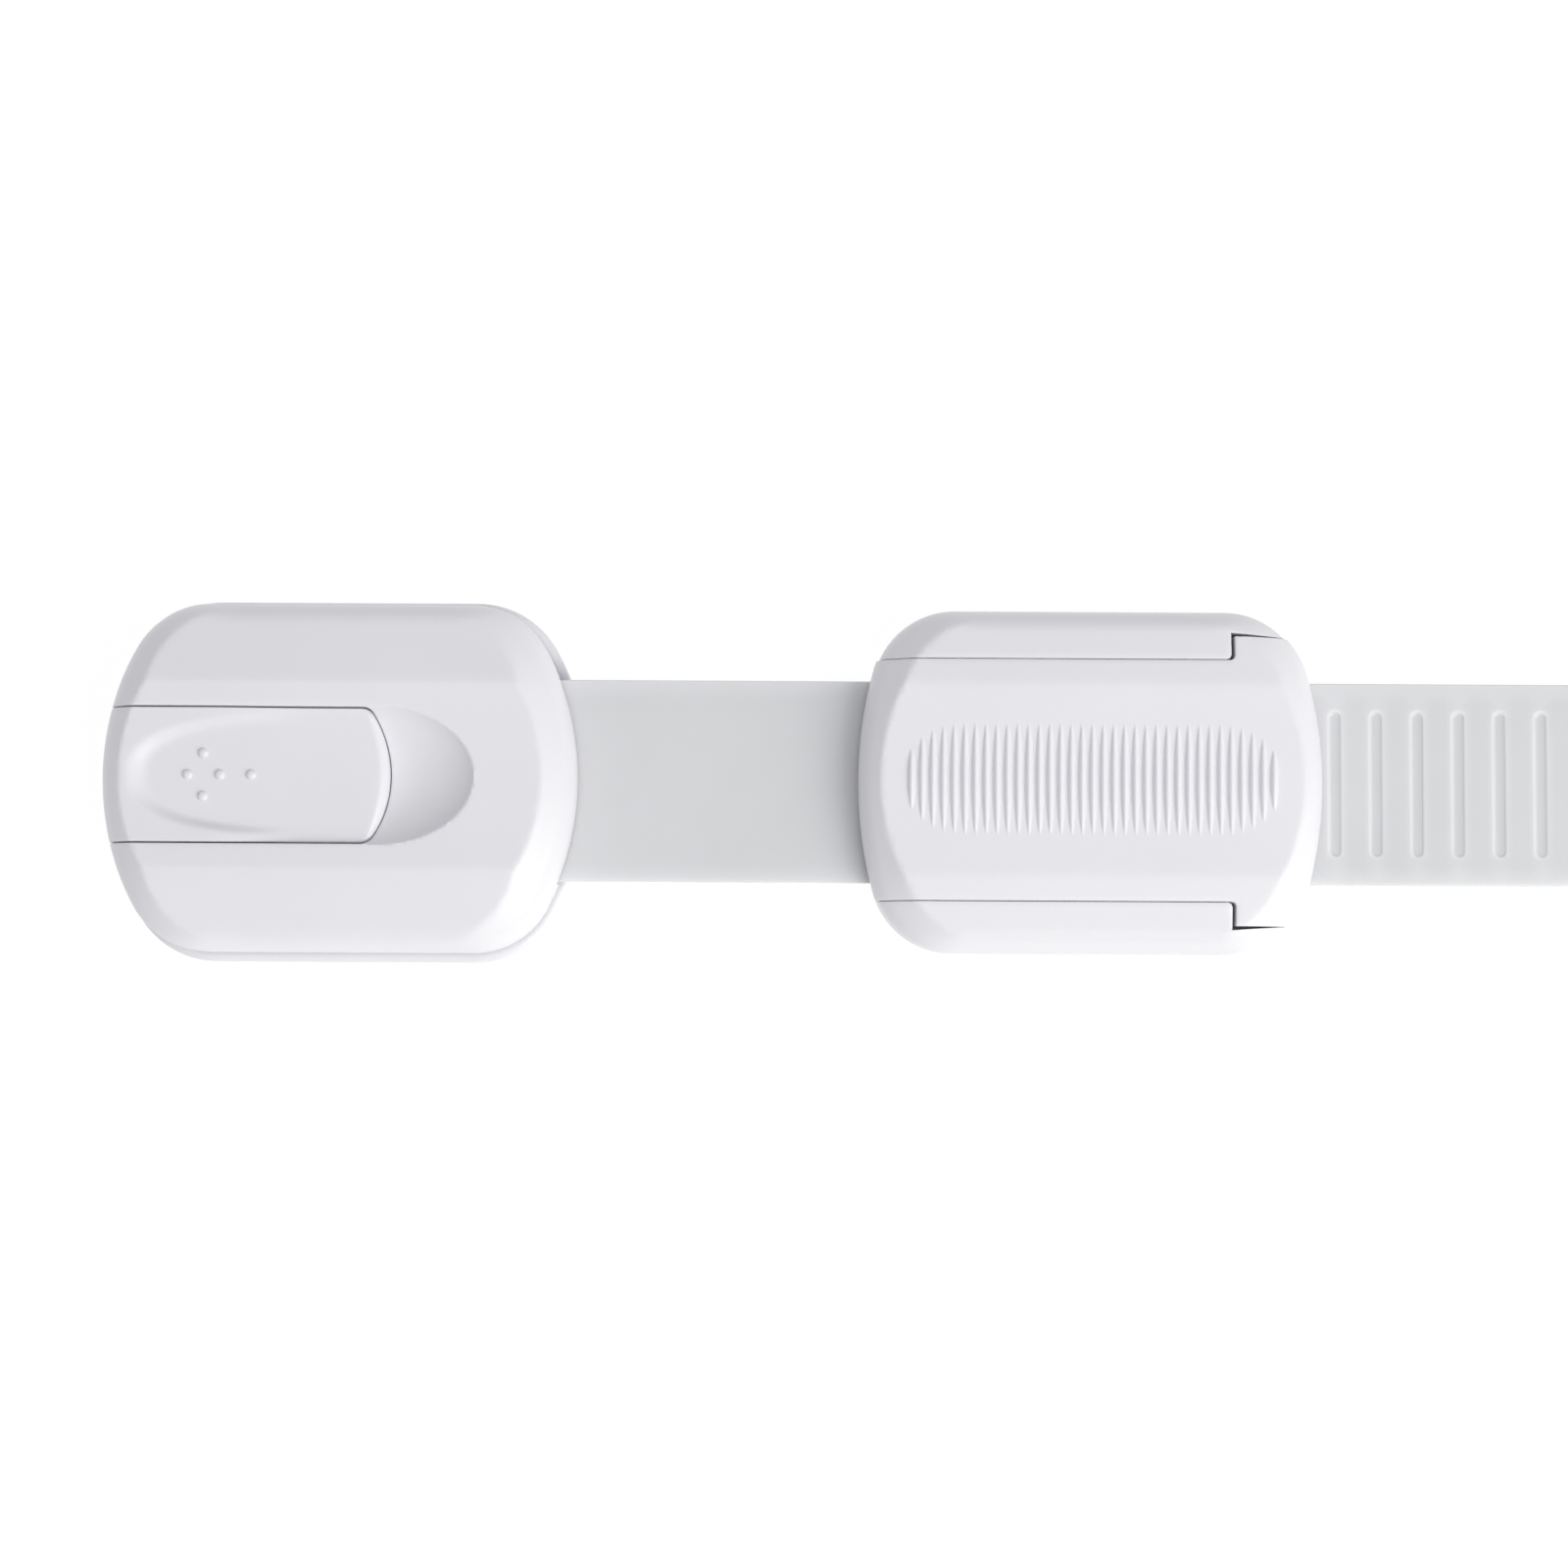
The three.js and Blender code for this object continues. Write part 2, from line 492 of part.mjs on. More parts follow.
function strapTail() {
  const start = BEND_X + bendEnd;
  const section = new THREE.Shape()
    .moveTo(STRAP_FREE_END, STRAP_UNDERSIDE)
    .lineTo(STRAP_FREE_END, STRAP_TOP)
    .absarc(start, STRAP_MIDDLE, STRAP_THICKNESS / 2, Math.PI / 2, (3 * Math.PI) / 2);
  const half = STRAP_WIDTH / 2;
  const corner = STRAP_TIP_CORNER;
  const tip = new THREE.Shape()
    .moveTo(0, half)
    .lineTo(0, -half)
    .absarc(STRAP_FREE_END - corner, corner - half, corner, -Math.PI / 2, 0)
    .absarc(STRAP_FREE_END - corner, half - corner, corner, 0, Math.PI / 2);
  const slots = Array.from({ length: SLOT_COUNT }, (_, i) =>
    prism(stadium(FIRST_SLOT_X + i * SLOT_PITCH, SLOT_WIDTH, SLOT_LENGTH), STRAP_TOP - SLOT_DEPTH, TOO_FAR));
  return cut(alongY(section, half).intersect(prism(tip, 0, TOO_FAR)), ...slots);
}

// ---------------------------------------------------------------- adjuster, about its own centre
const adjusterPad = () => prism(barrel(ADJUSTER, PAD_INSET.adjuster), 0, PAD_THICKNESS);
const ADJUSTER_HEAD_POCKET = PAD_THICKNESS + 1.2; // top of the pockets for the screws' heads

function adjusterBase() {
  const plate = prism(barrel(ADJUSTER, WALL + GAP), PAD_THICKNESS, ADJUSTER_BASE_TOP);
  return cut(
    plate,
    fourCylinders(ADJUSTER_SCREW, SCREW_HOLE.head, 0, ADJUSTER_HEAD_POCKET),
    fourCylinders(ADJUSTER_SCREW, SCREW_HOLE.clearance, 0, TOO_FAR),
  );
}

function adjusterHousing() {
  const below = prism(barrel(ADJUSTER, WALL), 0, DECK_UNDERSIDE);
  const { from, to, inner, outer, top } = POCKET;
  const pockets = union(boxPair(from, to, inner, outer, 0, top), boxPair(-to, -from, inner, outer, 0, top));
  const channel = box(-TOO_FAR, TOO_FAR, -CHANNEL_HALF_WIDTH, CHANNEL_HALF_WIDTH, DECK_TOP, TOO_FAR);
  const lidEdge = LID_HALF_WIDTH + GAP;
  const lidSlot = box(-TOO_FAR, TOO_FAR, -lidEdge, lidEdge, GUIDE_TOP, TOO_FAR);
  const earEdge = LID_EAR_HALF_WIDTH + GAP;
  const earSlot = box(LID_EAR_X - GAP, TOO_FAR, -earEdge, earEdge, GUIDE_TOP, TOO_FAR);
  const grooves = box(
    LID_GROOVE.from, TOO_FAR, -LID_GROOVE.halfWidth, LID_GROOVE.halfWidth, LID_GROOVE.bottom, LID_GROOVE.top,
  );
  const screwHoles = fourCylinders(ADJUSTER_SCREW, SCREW_HOLE.boss, 0, SCREW_HOLE_TOP);
  const bridgeHalf = BRIDGE.halfWidth;
  const bridge = box(BRIDGE.from, BRIDGE.to, -bridgeHalf, bridgeHalf, STRAP_TOP + GAP, BRIDGE.top);
  const stakes = cylinderPair(STAKE.x, STAKE.y, STAKE.radius, BRIDGE.top - FUSE, STAKE.top);
  const frame = cut(adjusterBlock(0, ADJUSTER_RIM, ADJUSTER_TOP), below, channel, lidSlot, earSlot, grooves);
  return cut(union(frame, bridge, stakes), pockets, screwHoles);
}

// A spring tongue with two teeth, held on the bridge over the strap. Its root is one step above the tongue.
function strapPawl() {
  const { top, bottom, bend, tip, toothTip, toothRoot } = PAWL;
  const rootBottom = BRIDGE.top + PAWL.seatGap;
  const rootTop = rootBottom + PAWL.rootHeight;
  const toothEnd = STRAP_TOP - SLOT_DEPTH + PLAY;
  const toothX = FIRST_SLOT_X + SLOTS_BEFORE_PAWL * SLOT_PITCH - ADJUSTER_X;
  const teeth = [toothX + SLOT_PITCH, toothX].flatMap((x) => [
    [x + toothRoot, bottom], [x + toothTip, toothEnd], [x - toothTip, toothEnd], [x - toothRoot, bottom],
  ]);
  const section = shapeOf([
    [BRIDGE.from + 0.2, rootBottom], [BRIDGE.from + 0.2, rootTop], [BRIDGE.to + 0.6, rootTop], [bend, top],
    [tip, top], [tip, bottom], ...teeth, [bend - 0.4, bottom], [BRIDGE.to + 0.2, rootBottom],
  ]);
  return cut(
    alongY(section, PAWL.halfWidth),
    cylinderPair(STAKE.x, STAKE.y, STAKE.radius + STAKE.clearance, 0, TOO_FAR),
  );
}

// Half length of the rib at a number of pitches from the middle.
function ribReach(fromMiddle) {
  const intoEnd = Math.max(0, fromMiddle - RIB.fullUpTo) / RIB.endSpan;
  return RIB.endReach + (RIB.reach - RIB.endReach) * Math.sqrt(1 - intoEnd ** 2);
}

function lid() {
  const plan = shapeOf([
    [-TOO_FAR, -LID_HALF_WIDTH], [LID_EAR_X, -LID_HALF_WIDTH], [LID_EAR_X, -LID_EAR_HALF_WIDTH],
    [TOO_FAR, -LID_EAR_HALF_WIDTH], [TOO_FAR, LID_EAR_HALF_WIDTH], [LID_EAR_X, LID_EAR_HALF_WIDTH],
    [LID_EAR_X, LID_HALF_WIDTH], [-TOO_FAR, LID_HALF_WIDTH],
  ]);
  const block = adjusterBlock(-LID_OVERHANG, LID_SKIRT, ADJUSTER_TOP).intersect(prism(plan, 0, TOO_FAR));
  const sides = boxPair(-TOO_FAR, TOO_FAR, LID_SIDE, TOO_FAR, 0, LID_UNDERSIDE);
  const { halfLength, halfWidth, straightTop } = LID_HOLLOW;
  const straight = box(-halfLength, halfLength, -halfWidth, halfWidth, 0, straightTop);
  const upper = box(-halfLength, halfLength, -halfWidth, halfWidth, 0, TOO_FAR);
  const hollow = straight.add(upper.intersect(adjusterBlock(WALL, 0, ADJUSTER_TOP - WALL)));
  const tongues = boxPair(
    LID_TONGUE.from, LID_TONGUE.to, LID_HALF_WIDTH - WALL / 2, LID_TONGUE.halfWidth, LID_TONGUE.bottom,
    LID_TONGUE.top,
  );
  const ribHalf = PRESS_RIB.thickness / 2;
  const pressRibs = boxPair(
    PRESS_RIB.from, PRESS_RIB.to, PRESS_RIB.y - ribHalf, PRESS_RIB.y + ribHalf, PRESS_RIB.bottom,
    ADJUSTER_TOP - WALL + FUSE,
  );
  const middle = (RIB.count - 1) / 2;
  const ribs = Array.from({ length: RIB.count }, (_, i) => {
    const reach = ribReach(Math.abs(i - middle));
    const rib = new THREE.OctahedronGeometry(1).scale(RIB.halfWidth, reach, RIB.height);
    return solid(rib.translate((i - middle) * RIB.pitch, 0, ADJUSTER_TOP));
  });
  return union(cut(block, sides, hollow), tongues, pressRibs, ...ribs);
}

// ---------------------------------------------------------------- assembly
function piece(name, body, look) {
  const mesh = new THREE.Mesh(geometryOf(body), look);
  mesh.name = name;
  return mesh;
}

function fourScrews(name, { x, y, length }, headBottom) {
  const places = [[-x, -y], [-x, y], [x, -y], [x, y]];
  const bodies = places.map(([atX, atY]) => screw(atX, atY, headBottom, length));
  return bodies.map((body, i) => piece(`${name}_${i + 1}`, body, STEEL));
}

function group(...children) {
  const made = new THREE.Group();
  made.add(...children);
  return made;
}

const latchBase = group(
  piece("latch_foam_pad", latchPad(), FOAM),
  piece("latch_base_plate", latchBasePlate(), WHITE),
);

const latchHead = group(
  piece("head_housing", headHousing(), WHITE),
  piece("head_cover", headCover(), INNER),
  ...fourScrews("head_screw", HEAD_SCREW, COVER.bottom + PLAY),
  piece("catch_clip", catchClip(), STEEL),
  piece("release_button", releaseButton(), WHITE),
  piece("button_spring_front", buttonSpring(-1), STEEL),
  piece("button_spring_back", buttonSpring(1), STEEL),
);

const strap = group(
  piece("strap_lead", strapLead(), STRAP),
  piece("strap_tail", strapTail(), STRAP),
);

const adjuster = group(
  piece("adjuster_foam_pad", adjusterPad(), FOAM),
  piece("adjuster_base", adjusterBase(), INNER),
  piece("adjuster_housing", adjusterHousing(), WHITE),
  ...fourScrews("adjuster_screw", ADJUSTER_SCREW, PAD_THICKNESS + PLAY),
  piece("strap_pawl", strapPawl(), INNER),
  piece("sliding_lid", lid(), WHITE),
);
adjuster.position.x = ADJUSTER_X;

export default group(latchBase, latchHead, strap, adjuster);
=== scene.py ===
"""An adhesive strap latch: its mouldings, strap and foam tape, their materials, the floor, lights and camera.

Plans and heights are worked out in millimetres. The outer sizes come from the CAD frame.
"""
import math

import bmesh
import bpy
import numpy as np
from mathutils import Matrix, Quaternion, Vector
from mathutils.geometry import delaunay_2d_cdt


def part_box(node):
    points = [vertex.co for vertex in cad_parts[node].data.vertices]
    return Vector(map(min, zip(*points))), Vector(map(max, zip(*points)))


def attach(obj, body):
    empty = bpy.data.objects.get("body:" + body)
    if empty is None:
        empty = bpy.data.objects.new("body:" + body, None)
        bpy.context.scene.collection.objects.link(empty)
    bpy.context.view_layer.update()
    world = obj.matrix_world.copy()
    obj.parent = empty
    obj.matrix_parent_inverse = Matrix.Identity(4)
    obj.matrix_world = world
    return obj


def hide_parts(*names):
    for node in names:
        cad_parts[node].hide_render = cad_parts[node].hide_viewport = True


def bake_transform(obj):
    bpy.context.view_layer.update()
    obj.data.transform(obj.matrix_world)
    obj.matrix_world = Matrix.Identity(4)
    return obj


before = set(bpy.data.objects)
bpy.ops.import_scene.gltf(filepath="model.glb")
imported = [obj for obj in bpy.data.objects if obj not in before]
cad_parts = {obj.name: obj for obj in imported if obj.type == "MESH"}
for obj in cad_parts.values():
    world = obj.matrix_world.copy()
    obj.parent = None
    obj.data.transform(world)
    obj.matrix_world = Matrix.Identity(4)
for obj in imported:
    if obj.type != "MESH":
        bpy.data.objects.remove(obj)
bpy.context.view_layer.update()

MM = 0.001
GAP = 0.3  # between the button and the wall under it
WALL = 1.6  # moulded wall thickness
CHANNEL_HALF_WIDTH = 11.3  # room for the strap in both shells
HEAD_END_RADIUS = 30.2
ADJUSTER_END_RADIUS = 46.5
CORNER_RADIUS = 9.0
BASE_FLANGE = 1.0  # the base plate shows this far outside the head


def low_high(node):
    """A node's box in millimetres, as two arrays."""
    low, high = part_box(node)
    return np.array(low) / MM, np.array(high) / MM


# ---------------------------------------------------------------- plan outlines
class Plan:
    """An outline with bowed ends, round corners and straight sides, centred at (x, 0)."""

    def __init__(self, x, half_length, half_width, end_radius, corner_radius):
        self.x = x
        self.half_length = half_length
        self.half_width = half_width
        self.end_radius = end_radius
        self.corner_radius = corner_radius
        self.end_x = half_length - end_radius
        self.corner_y = half_width - corner_radius
        self.corner_x = self.end_x + math.sqrt((end_radius - corner_radius) ** 2 - self.corner_y ** 2)
        self.spread = math.atan2(self.corner_y, self.corner_x - self.end_x)

    def inset(self, by):
        return Plan(
            self.x, self.half_length - by, self.half_width - by, self.end_radius - by, self.corner_radius - by
        )

    def depth(self, x, y):
        """How far inside the outline the points are. It is negative outside."""
        x, y = np.abs(x - self.x), np.abs(y)
        side = self.half_width - y
        end = self.end_radius - np.hypot(np.maximum(x - self.end_x, 0), y)
        corner = self.corner_radius - np.hypot(x - self.corner_x, y - self.corner_y)
        turn = np.arctan2(y - self.corner_y, x - self.corner_x)
        in_corner = (turn > self.spread) & (turn < math.pi / 2)
        return np.where(in_corner, corner, np.minimum(side, end))

    def outline(self, step):
        half_turn = math.pi
        arcs = [
            (self.end_x, 0, self.end_radius, -self.spread, self.spread),
            (self.corner_x, self.corner_y, self.corner_radius, self.spread, half_turn / 2),
            (-self.corner_x, self.corner_y, self.corner_radius, half_turn / 2, half_turn - self.spread),
            (-self.end_x, 0, self.end_radius, half_turn - self.spread, half_turn + self.spread),
            (-self.corner_x, -self.corner_y, self.corner_radius, half_turn + self.spread, 1.5 * half_turn),
            (self.corner_x, -self.corner_y, self.corner_radius, 1.5 * half_turn, 2 * half_turn - self.spread),
        ]
        corners = []
        for cx, cy, radius, start, stop in arcs:
            count = max(2, math.ceil(radius * (stop - start) / min(step, radius / 3)))
            angles = np.linspace(start, stop, count + 1)
            corners += [(self.x + cx + radius * math.cos(a), cy + radius * math.sin(a)) for a in angles]
        return polyline(corners, step)


def polyline(corners, step):
    """A closed loop through the corners, with points no more than a step apart and none twice."""
    points = []
    for (x0, y0), (x1, y1) in zip(corners, corners[1:] + corners[:1]):
        length = math.hypot(x1 - x0, y1 - y0)
        if length < 1e-6:
            continue
        count = max(1, math.ceil(length / step - 1e-6))
        points += [(x0 + (x1 - x0) * i / count, y0 + (y1 - y0) * i / count) for i in range(count)]
    return points


def loop_depth(corners, x, y):
    """How far inside a loop of straight lines the points are. It is negative outside."""
    x, y = np.asarray(x, float), np.asarray(y, float)
    nearest = np.full(x.shape, np.inf)
    inside = np.zeros(x.shape, bool)
    for (x0, y0), (x1, y1) in zip(corners, corners[1:] + corners[:1]):
        dx, dy = x1 - x0, y1 - y0
        along = np.clip(((x - x0) * dx + (y - y0) * dy) / (dx ** 2 + dy ** 2), 0, 1)
        nearest = np.minimum(nearest, np.hypot(x - x0 - along * dx, y - y0 - along * dy))
        if dy:
            crosses = (y0 > y) != (y1 > y)
            inside ^= crosses & (x < x0 + (y - y0) * dx / dy)
    return np.where(inside, nearest, -nearest)


def rectangle(x0, x1, y0, y1, step=1.0):
    return polyline([(x0, y0), (x1, y0), (x1, y1), (x0, y1)], step)


def circle(x, y, radius, count):
    angles = [2 * math.pi * i / count for i in range(count)]
    return [(x + radius * math.cos(a), y + radius * math.sin(a)) for a in angles]


def grid(x0, x1, y0, y1, step_x, step_y):
    xs = np.linspace(x0, x1, max(2, round((x1 - x0) / step_x) + 1))
    ys = np.linspace(y0, y1, max(2, round((y1 - y0) / step_y) + 1))
    return [(x, y) for x in xs for y in ys]


def rounding(depth, radius):
    """How far a rounded edge falls, at a depth inside that edge."""
    short = np.clip(radius - depth, 0, radius)
    return radius - np.sqrt(radius ** 2 - short ** 2)


def edge_steps(radius, count=5):
    """Depths that follow an edge rounding in equal turns, from the edge inwards."""
    return [radius * (1 - math.cos(math.pi / 2 * i / count)) for i in range(count + 1)]


def rings(plan, depths, step):
    """Loops at these depths inside an outline."""
    return [plan.inset(depth).outline(step) for depth in depths]


def smooth(share):
    """A soft step from 0 to 1."""
    share = np.clip(share, 0, 1)
    return share * share * (3 - 2 * share)


def soft_min(a, b, width):
    """The lower of the two, blended over a width around where they cross."""
    share = np.clip(0.5 + 0.5 * (b - a) / width, 0, 1)
    return b * (1 - share) + a * share - width * share * (1 - share)


# ---------------------------------------------------------------- meshes
SEED_CLEARANCE = 0.12  # loose points closer to a line than this are left out
BATCH = 400  # loose points measured at a time
MERGE_DISTANCE = 1e-6  # metres
SHARP_ANGLE = math.radians(38)


def triangulate(loops, seeds):
    """Triangles over plan loops, whose lines become edges, and loose points between them."""
    points, edges = [], []
    for loop in loops:
        first = len(points)
        points += loop
        edges += [(first + i, first + (i + 1) % len(loop)) for i in range(len(loop))]
    if seeds:
        lines = np.array(points)
        loose = np.array(seeds)
        gaps = np.concatenate(
            [np.hypot(*(part[:, None] - lines[None]).transpose(2, 0, 1)).min(axis=1)
             for part in np.array_split(loose, max(1, len(loose) // BATCH))]
        )
        points += [tuple(p) for p in loose[gaps > SEED_CLEARANCE]]
    vertices, _, faces, *_ = delaunay_2d_cdt([Vector(p) for p in points], edges, [], 0, 1e-5)
    return np.array([tuple(v) for v in vertices]), np.array([f for f in faces if len(f) == 3])


def everywhere(x, y):
    """The test of a last zone, which takes what the zones before it leave."""
    return np.full(x.shape, True)


def level(z):
    """The height of a flat surface."""
    return lambda x, y: z


def stepped_solid(name, loops, seeds, inside, tops, bottoms):
    """A closed solid between an upper and a lower surface, each made of zones with steps between them.

    inside(x, y) is positive where there is material. A zone is a test(x, y) and a height(x, y), and the first
    zone whose test holds at a triangle's middle is that triangle's zone.
    """
    plan, faces = triangulate(loops, seeds)
    middle = plan[faces].mean(axis=1)
    faces = faces[inside(middle[:, 0], middle[:, 1]) > 0]
    middle = plan[faces].mean(axis=1)
    x, y = plan[:, 0], plan[:, 1]
    vertices, polygons = [], []
    index = {}

    def zones_of(zones):
        choice = np.full(len(faces), -1)
        for number, (test, _) in enumerate(zones):
            holds = test(middle[:, 0], middle[:, 1])
            choice[(choice < 0) & holds] = number
        return choice, [np.broadcast_to(height(x, y), x.shape) for _, height in zones]

    def corner(point, z):
        key = (int(point), round(float(z), 4))
        if key not in index:
            index[key] = len(vertices)
            vertices.append((plan[point, 0] * MM, plan[point, 1] * MM, z * MM))
        return index[key]

    def add(*corners):
        kept = [c for i, c in enumerate(corners) if c != corners[i - 1]]
        if len(kept) > 2:
            polygons.append(kept)

    top_zone, top_z = zones_of(tops)
    bottom_zone, bottom_z = zones_of(bottoms)
    owner = {}
    for number, (a, b, c) in enumerate(faces):
        high, low = top_z[top_zone[number]], bottom_z[bottom_zone[number]]
        add(corner(a, high[a]), corner(b, high[b]), corner(c, high[c]))
        add(corner(a, low[a]), corner(c, low[c]), corner(b, low[b]))
        owner.update({(a, b): number, (b, c): number, (c, a): number})
    for (a, b), number in owner.items():
        high, low = top_z[top_zone[number]], bottom_z[bottom_zone[number]]
        other = owner.get((b, a))
        if other is None:
            add(corner(b, high[b]), corner(a, high[a]), corner(a, low[a]), corner(b, low[b]))
        elif a < b:
            for zone, heights in ((top_zone, top_z), (bottom_zone, bottom_z)):
                if zone[number] != zone[other]:
                    near, far = heights[zone[number]], heights[zone[other]]
                    add(corner(a, near[a]), corner(b, near[b]), corner(b, far[b]), corner(a, far[a]))
    return finished(name, vertices, polygons)


def finished(name, vertices, polygons):
    """A mesh object with its faces turned out, smooth but for its sharp edges."""
    mesh = bpy.data.meshes.new(name)
    mesh.from_pydata(vertices, [], polygons)
    work = bmesh.new()
    work.from_mesh(mesh)
    bmesh.ops.remove_doubles(work, verts=work.verts, dist=MERGE_DISTANCE)
    bmesh.ops.dissolve_degenerate(work, edges=work.edges, dist=MERGE_DISTANCE)
    bmesh.ops.recalc_face_normals(work, faces=work.faces)
    work.to_mesh(mesh)
    work.free()
    obj = bpy.data.objects.new(name, mesh)
    bpy.context.scene.collection.objects.link(obj)
    mesh.shade_smooth()
    mesh.set_sharp_from_angle(angle=SHARP_ANGLE)
    return obj


def turned_solid(name, profile, x, y, count=48):
    """A body of revolution about a vertical axis at (x, y), from (radius, height) points."""
    vertices, polygons = [], []
    turns = []
    for radius, z in profile:
        if radius == 0:
            turns.append([len(vertices)] * count)
            vertices.append((x * MM, y * MM, z * MM))
            continue
        turns.append(list(range(len(vertices), len(vertices) + count)))
        vertices += [(px * MM, py * MM, z * MM) for px, py in circle(x, y, radius, count)]
    for lower, upper in zip(turns, turns[1:]):
        for i in range(count):
            j = (i + 1) % count
            quad = [lower[i], lower[j], upper[j], upper[i]]
            kept = [c for k, c in enumerate(quad) if c != quad[k - 1]]
            if len(kept) > 2:
                polygons.append(kept)
    return finished(name, vertices, polygons)


# ---------------------------------------------------------------- materials
def new_material(name, color, roughness, **values):
    """A Principled material. Further values are set straight on its sockets."""
    material = bpy.data.materials.new(name)
    material.use_nodes = True
    shader = material.node_tree.nodes["Principled BSDF"]
    shader.inputs["Base Color"].default_value = (*color, 1)
    shader.inputs["Roughness"].default_value = roughness
    for socket, value in values.items():
        shader.inputs[socket.replace("_", " ")].default_value = value
    return material


def add_node(material, kind, **settings):
    """A new node, with each setting on the socket or the property of that name."""
    node = material.node_tree.nodes.new(kind)
    for key, value in settings.items():
        if key in node.inputs:
            node.inputs[key].default_value = value
        else:
            setattr(node, key, value)
    return node


def link(material, start, end):
    material.node_tree.links.new(start, end)


def vary_color(material, low, high, scale):
    """Slow, faint changes of colour through the material."""
    coordinates = add_node(material, "ShaderNodeTexCoord")
    noise = add_node(material, "ShaderNodeTexNoise", Scale=scale, Detail=3.0)
    ramp = add_node(material, "ShaderNodeValToRGB")
    ramp.color_ramp.elements[0].position = 0.3
    ramp.color_ramp.elements[0].color = (*low, 1)
    ramp.color_ramp.elements[1].position = 0.7
    ramp.color_ramp.elements[1].color = (*high, 1)
    link(material, coordinates.outputs["Object"], noise.inputs["Vector"])
    link(material, noise.outputs["Fac"], ramp.inputs["Fac"])
    link(material, ramp.outputs["Color"], material.node_tree.nodes["Principled BSDF"].inputs["Base Color"])


def vary_roughness(material, low, high, scale):
    """Fine changes of gloss through the material."""
    coordinates = add_node(material, "ShaderNodeTexCoord")
    noise = add_node(material, "ShaderNodeTexNoise", Scale=scale, Detail=4.0)
    spread = add_node(material, "ShaderNodeMapRange")
    spread.inputs["To Min"].default_value = low
    spread.inputs["To Max"].default_value = high
    link(material, coordinates.outputs["Object"], noise.inputs["Vector"])
    link(material, noise.outputs["Fac"], spread.inputs["Value"])
    link(material, spread.outputs["Result"], material.node_tree.nodes["Principled BSDF"].inputs["Roughness"])


def grain(material, scale, distance, strength, kind="ShaderNodeTexNoise"):
    """A fine surface texture as bump, with its distance in metres."""
    coordinates = add_node(material, "ShaderNodeTexCoord")
    texture = add_node(material, kind, Scale=scale)
    bump = add_node(material, "ShaderNodeBump", Strength=strength, Distance=distance)
    output = "Distance" if kind == "ShaderNodeTexVoronoi" else "Fac"
    link(material, coordinates.outputs["Object"], texture.inputs["Vector"])
    link(material, texture.outputs[output], bump.inputs["Height"])
    link(material, bump.outputs["Normal"], material.node_tree.nodes["Principled BSDF"].inputs["Normal"])


def white_plastic():
    material = new_material("white_plastic", (0.74, 0.74, 0.78), 0.36, IOR=1.49, Subsurface_Weight=0.08)
    material.node_tree.nodes["Principled BSDF"].inputs["Subsurface Radius"].default_value = (1.0, 0.9, 0.9)
    material.node_tree.nodes["Principled BSDF"].inputs["Subsurface Scale"].default_value = 0.0012
    vary_color(material, (0.74, 0.735, 0.772), (0.755, 0.75, 0.785), 60)
    vary_roughness(material, 0.33, 0.41, 900)
    grain(material, 5200, 0.00001, 0.35)
    return material


def inner_plastic():
    material = new_material("inner_plastic", (0.66, 0.66, 0.68), 0.5, IOR=1.49)
    vary_color(material, (0.65, 0.65, 0.67), (0.68, 0.68, 0.69), 90)
    vary_roughness(material, 0.46, 0.58, 700)
    grain(material, 3600, 0.00002, 0.5)
    return material


# The strap's painted highlights and painted shade, kept as a point attribute of its mesh.
PAINTED_LIGHT_ATTRIBUTE = "painted_light"  # multiplies the strap's colour, point by point


def paint_light_into_color(material):
    """Multiplies the base colour by the mesh's painted highlights and shade."""
    shader = material.node_tree.nodes["Principled BSDF"]
    colored = shader.inputs["Base Color"].links[0].from_socket
    painted_light = add_node(material, "ShaderNodeAttribute", attribute_name=PAINTED_LIGHT_ATTRIBUTE)
    scale = add_node(material, "ShaderNodeVectorMath", operation="SCALE")
    link(material, colored, scale.inputs[0])
    link(material, painted_light.outputs["Fac"], scale.inputs["Scale"])
    link(material, scale.outputs["Vector"], shader.inputs["Base Color"])


def strap_plastic():
    material = new_material("strap_plastic", (0.6, 0.63, 0.635), 0.34, IOR=1.48, Subsurface_Weight=0.35)
    material.node_tree.nodes["Principled BSDF"].inputs["Subsurface Radius"].default_value = (0.9, 1.0, 1.0)
    material.node_tree.nodes["Principled BSDF"].inputs["Subsurface Scale"].default_value = 0.0016
    vary_color(material, (0.615, 0.616, 0.6355), (0.64, 0.641, 0.661), 45)
    # Paints highlights and shade into the strap's colour.
    paint_light_into_color(material)
    vary_roughness(material, 0.3, 0.4, 500)
    grain(material, 3000, 0.000012, 0.3)
    return material


def foam_tape():
    material = new_material("foam_tape", (0.84, 0.84, 0.82), 0.85)
    vary_color(material, (0.8, 0.8, 0.78), (0.87, 0.87, 0.86), 400)
    grain(material, 2600, 0.00012, 0.8, kind="ShaderNodeTexVoronoi")
    return material


def spring_steel():
    material = new_material("spring_steel", (0.62, 0.63, 0.65), 0.28, Metallic=1.0)
    vary_color(material, (0.58, 0.59, 0.61), (0.66, 0.67, 0.69), 300)
    vary_roughness(material, 0.2, 0.36, 1500)
    grain(material, 9000, 0.000006, 0.4)
    return material


def floor_paper():
    material = new_material("floor_paper", (0.22, 0.22, 0.22), 0.9)
    shader = material.node_tree.nodes["Principled BSDF"]
    shader.inputs["Emission Color"].default_value = (1, 1, 1, 1)
    shader.inputs["Emission Strength"].default_value = 0.86
    shader.inputs["Specular IOR Level"].default_value = 0.1
    return material


WHITE = white_plastic()
INNER = inner_plastic()
STRAP = strap_plastic()
FOAM = foam_tape()
STEEL = spring_steel()


def place(piece, body, material, slot, *nodes):
    """Gives a piece its material, lets it ride on a body, and hides the CAD nodes it stands for. Its slot is
    not used.
    """
    piece.data.materials.append(material)
    if body:
        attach(piece, body)
    if nodes:
        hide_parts(*nodes)
    return piece


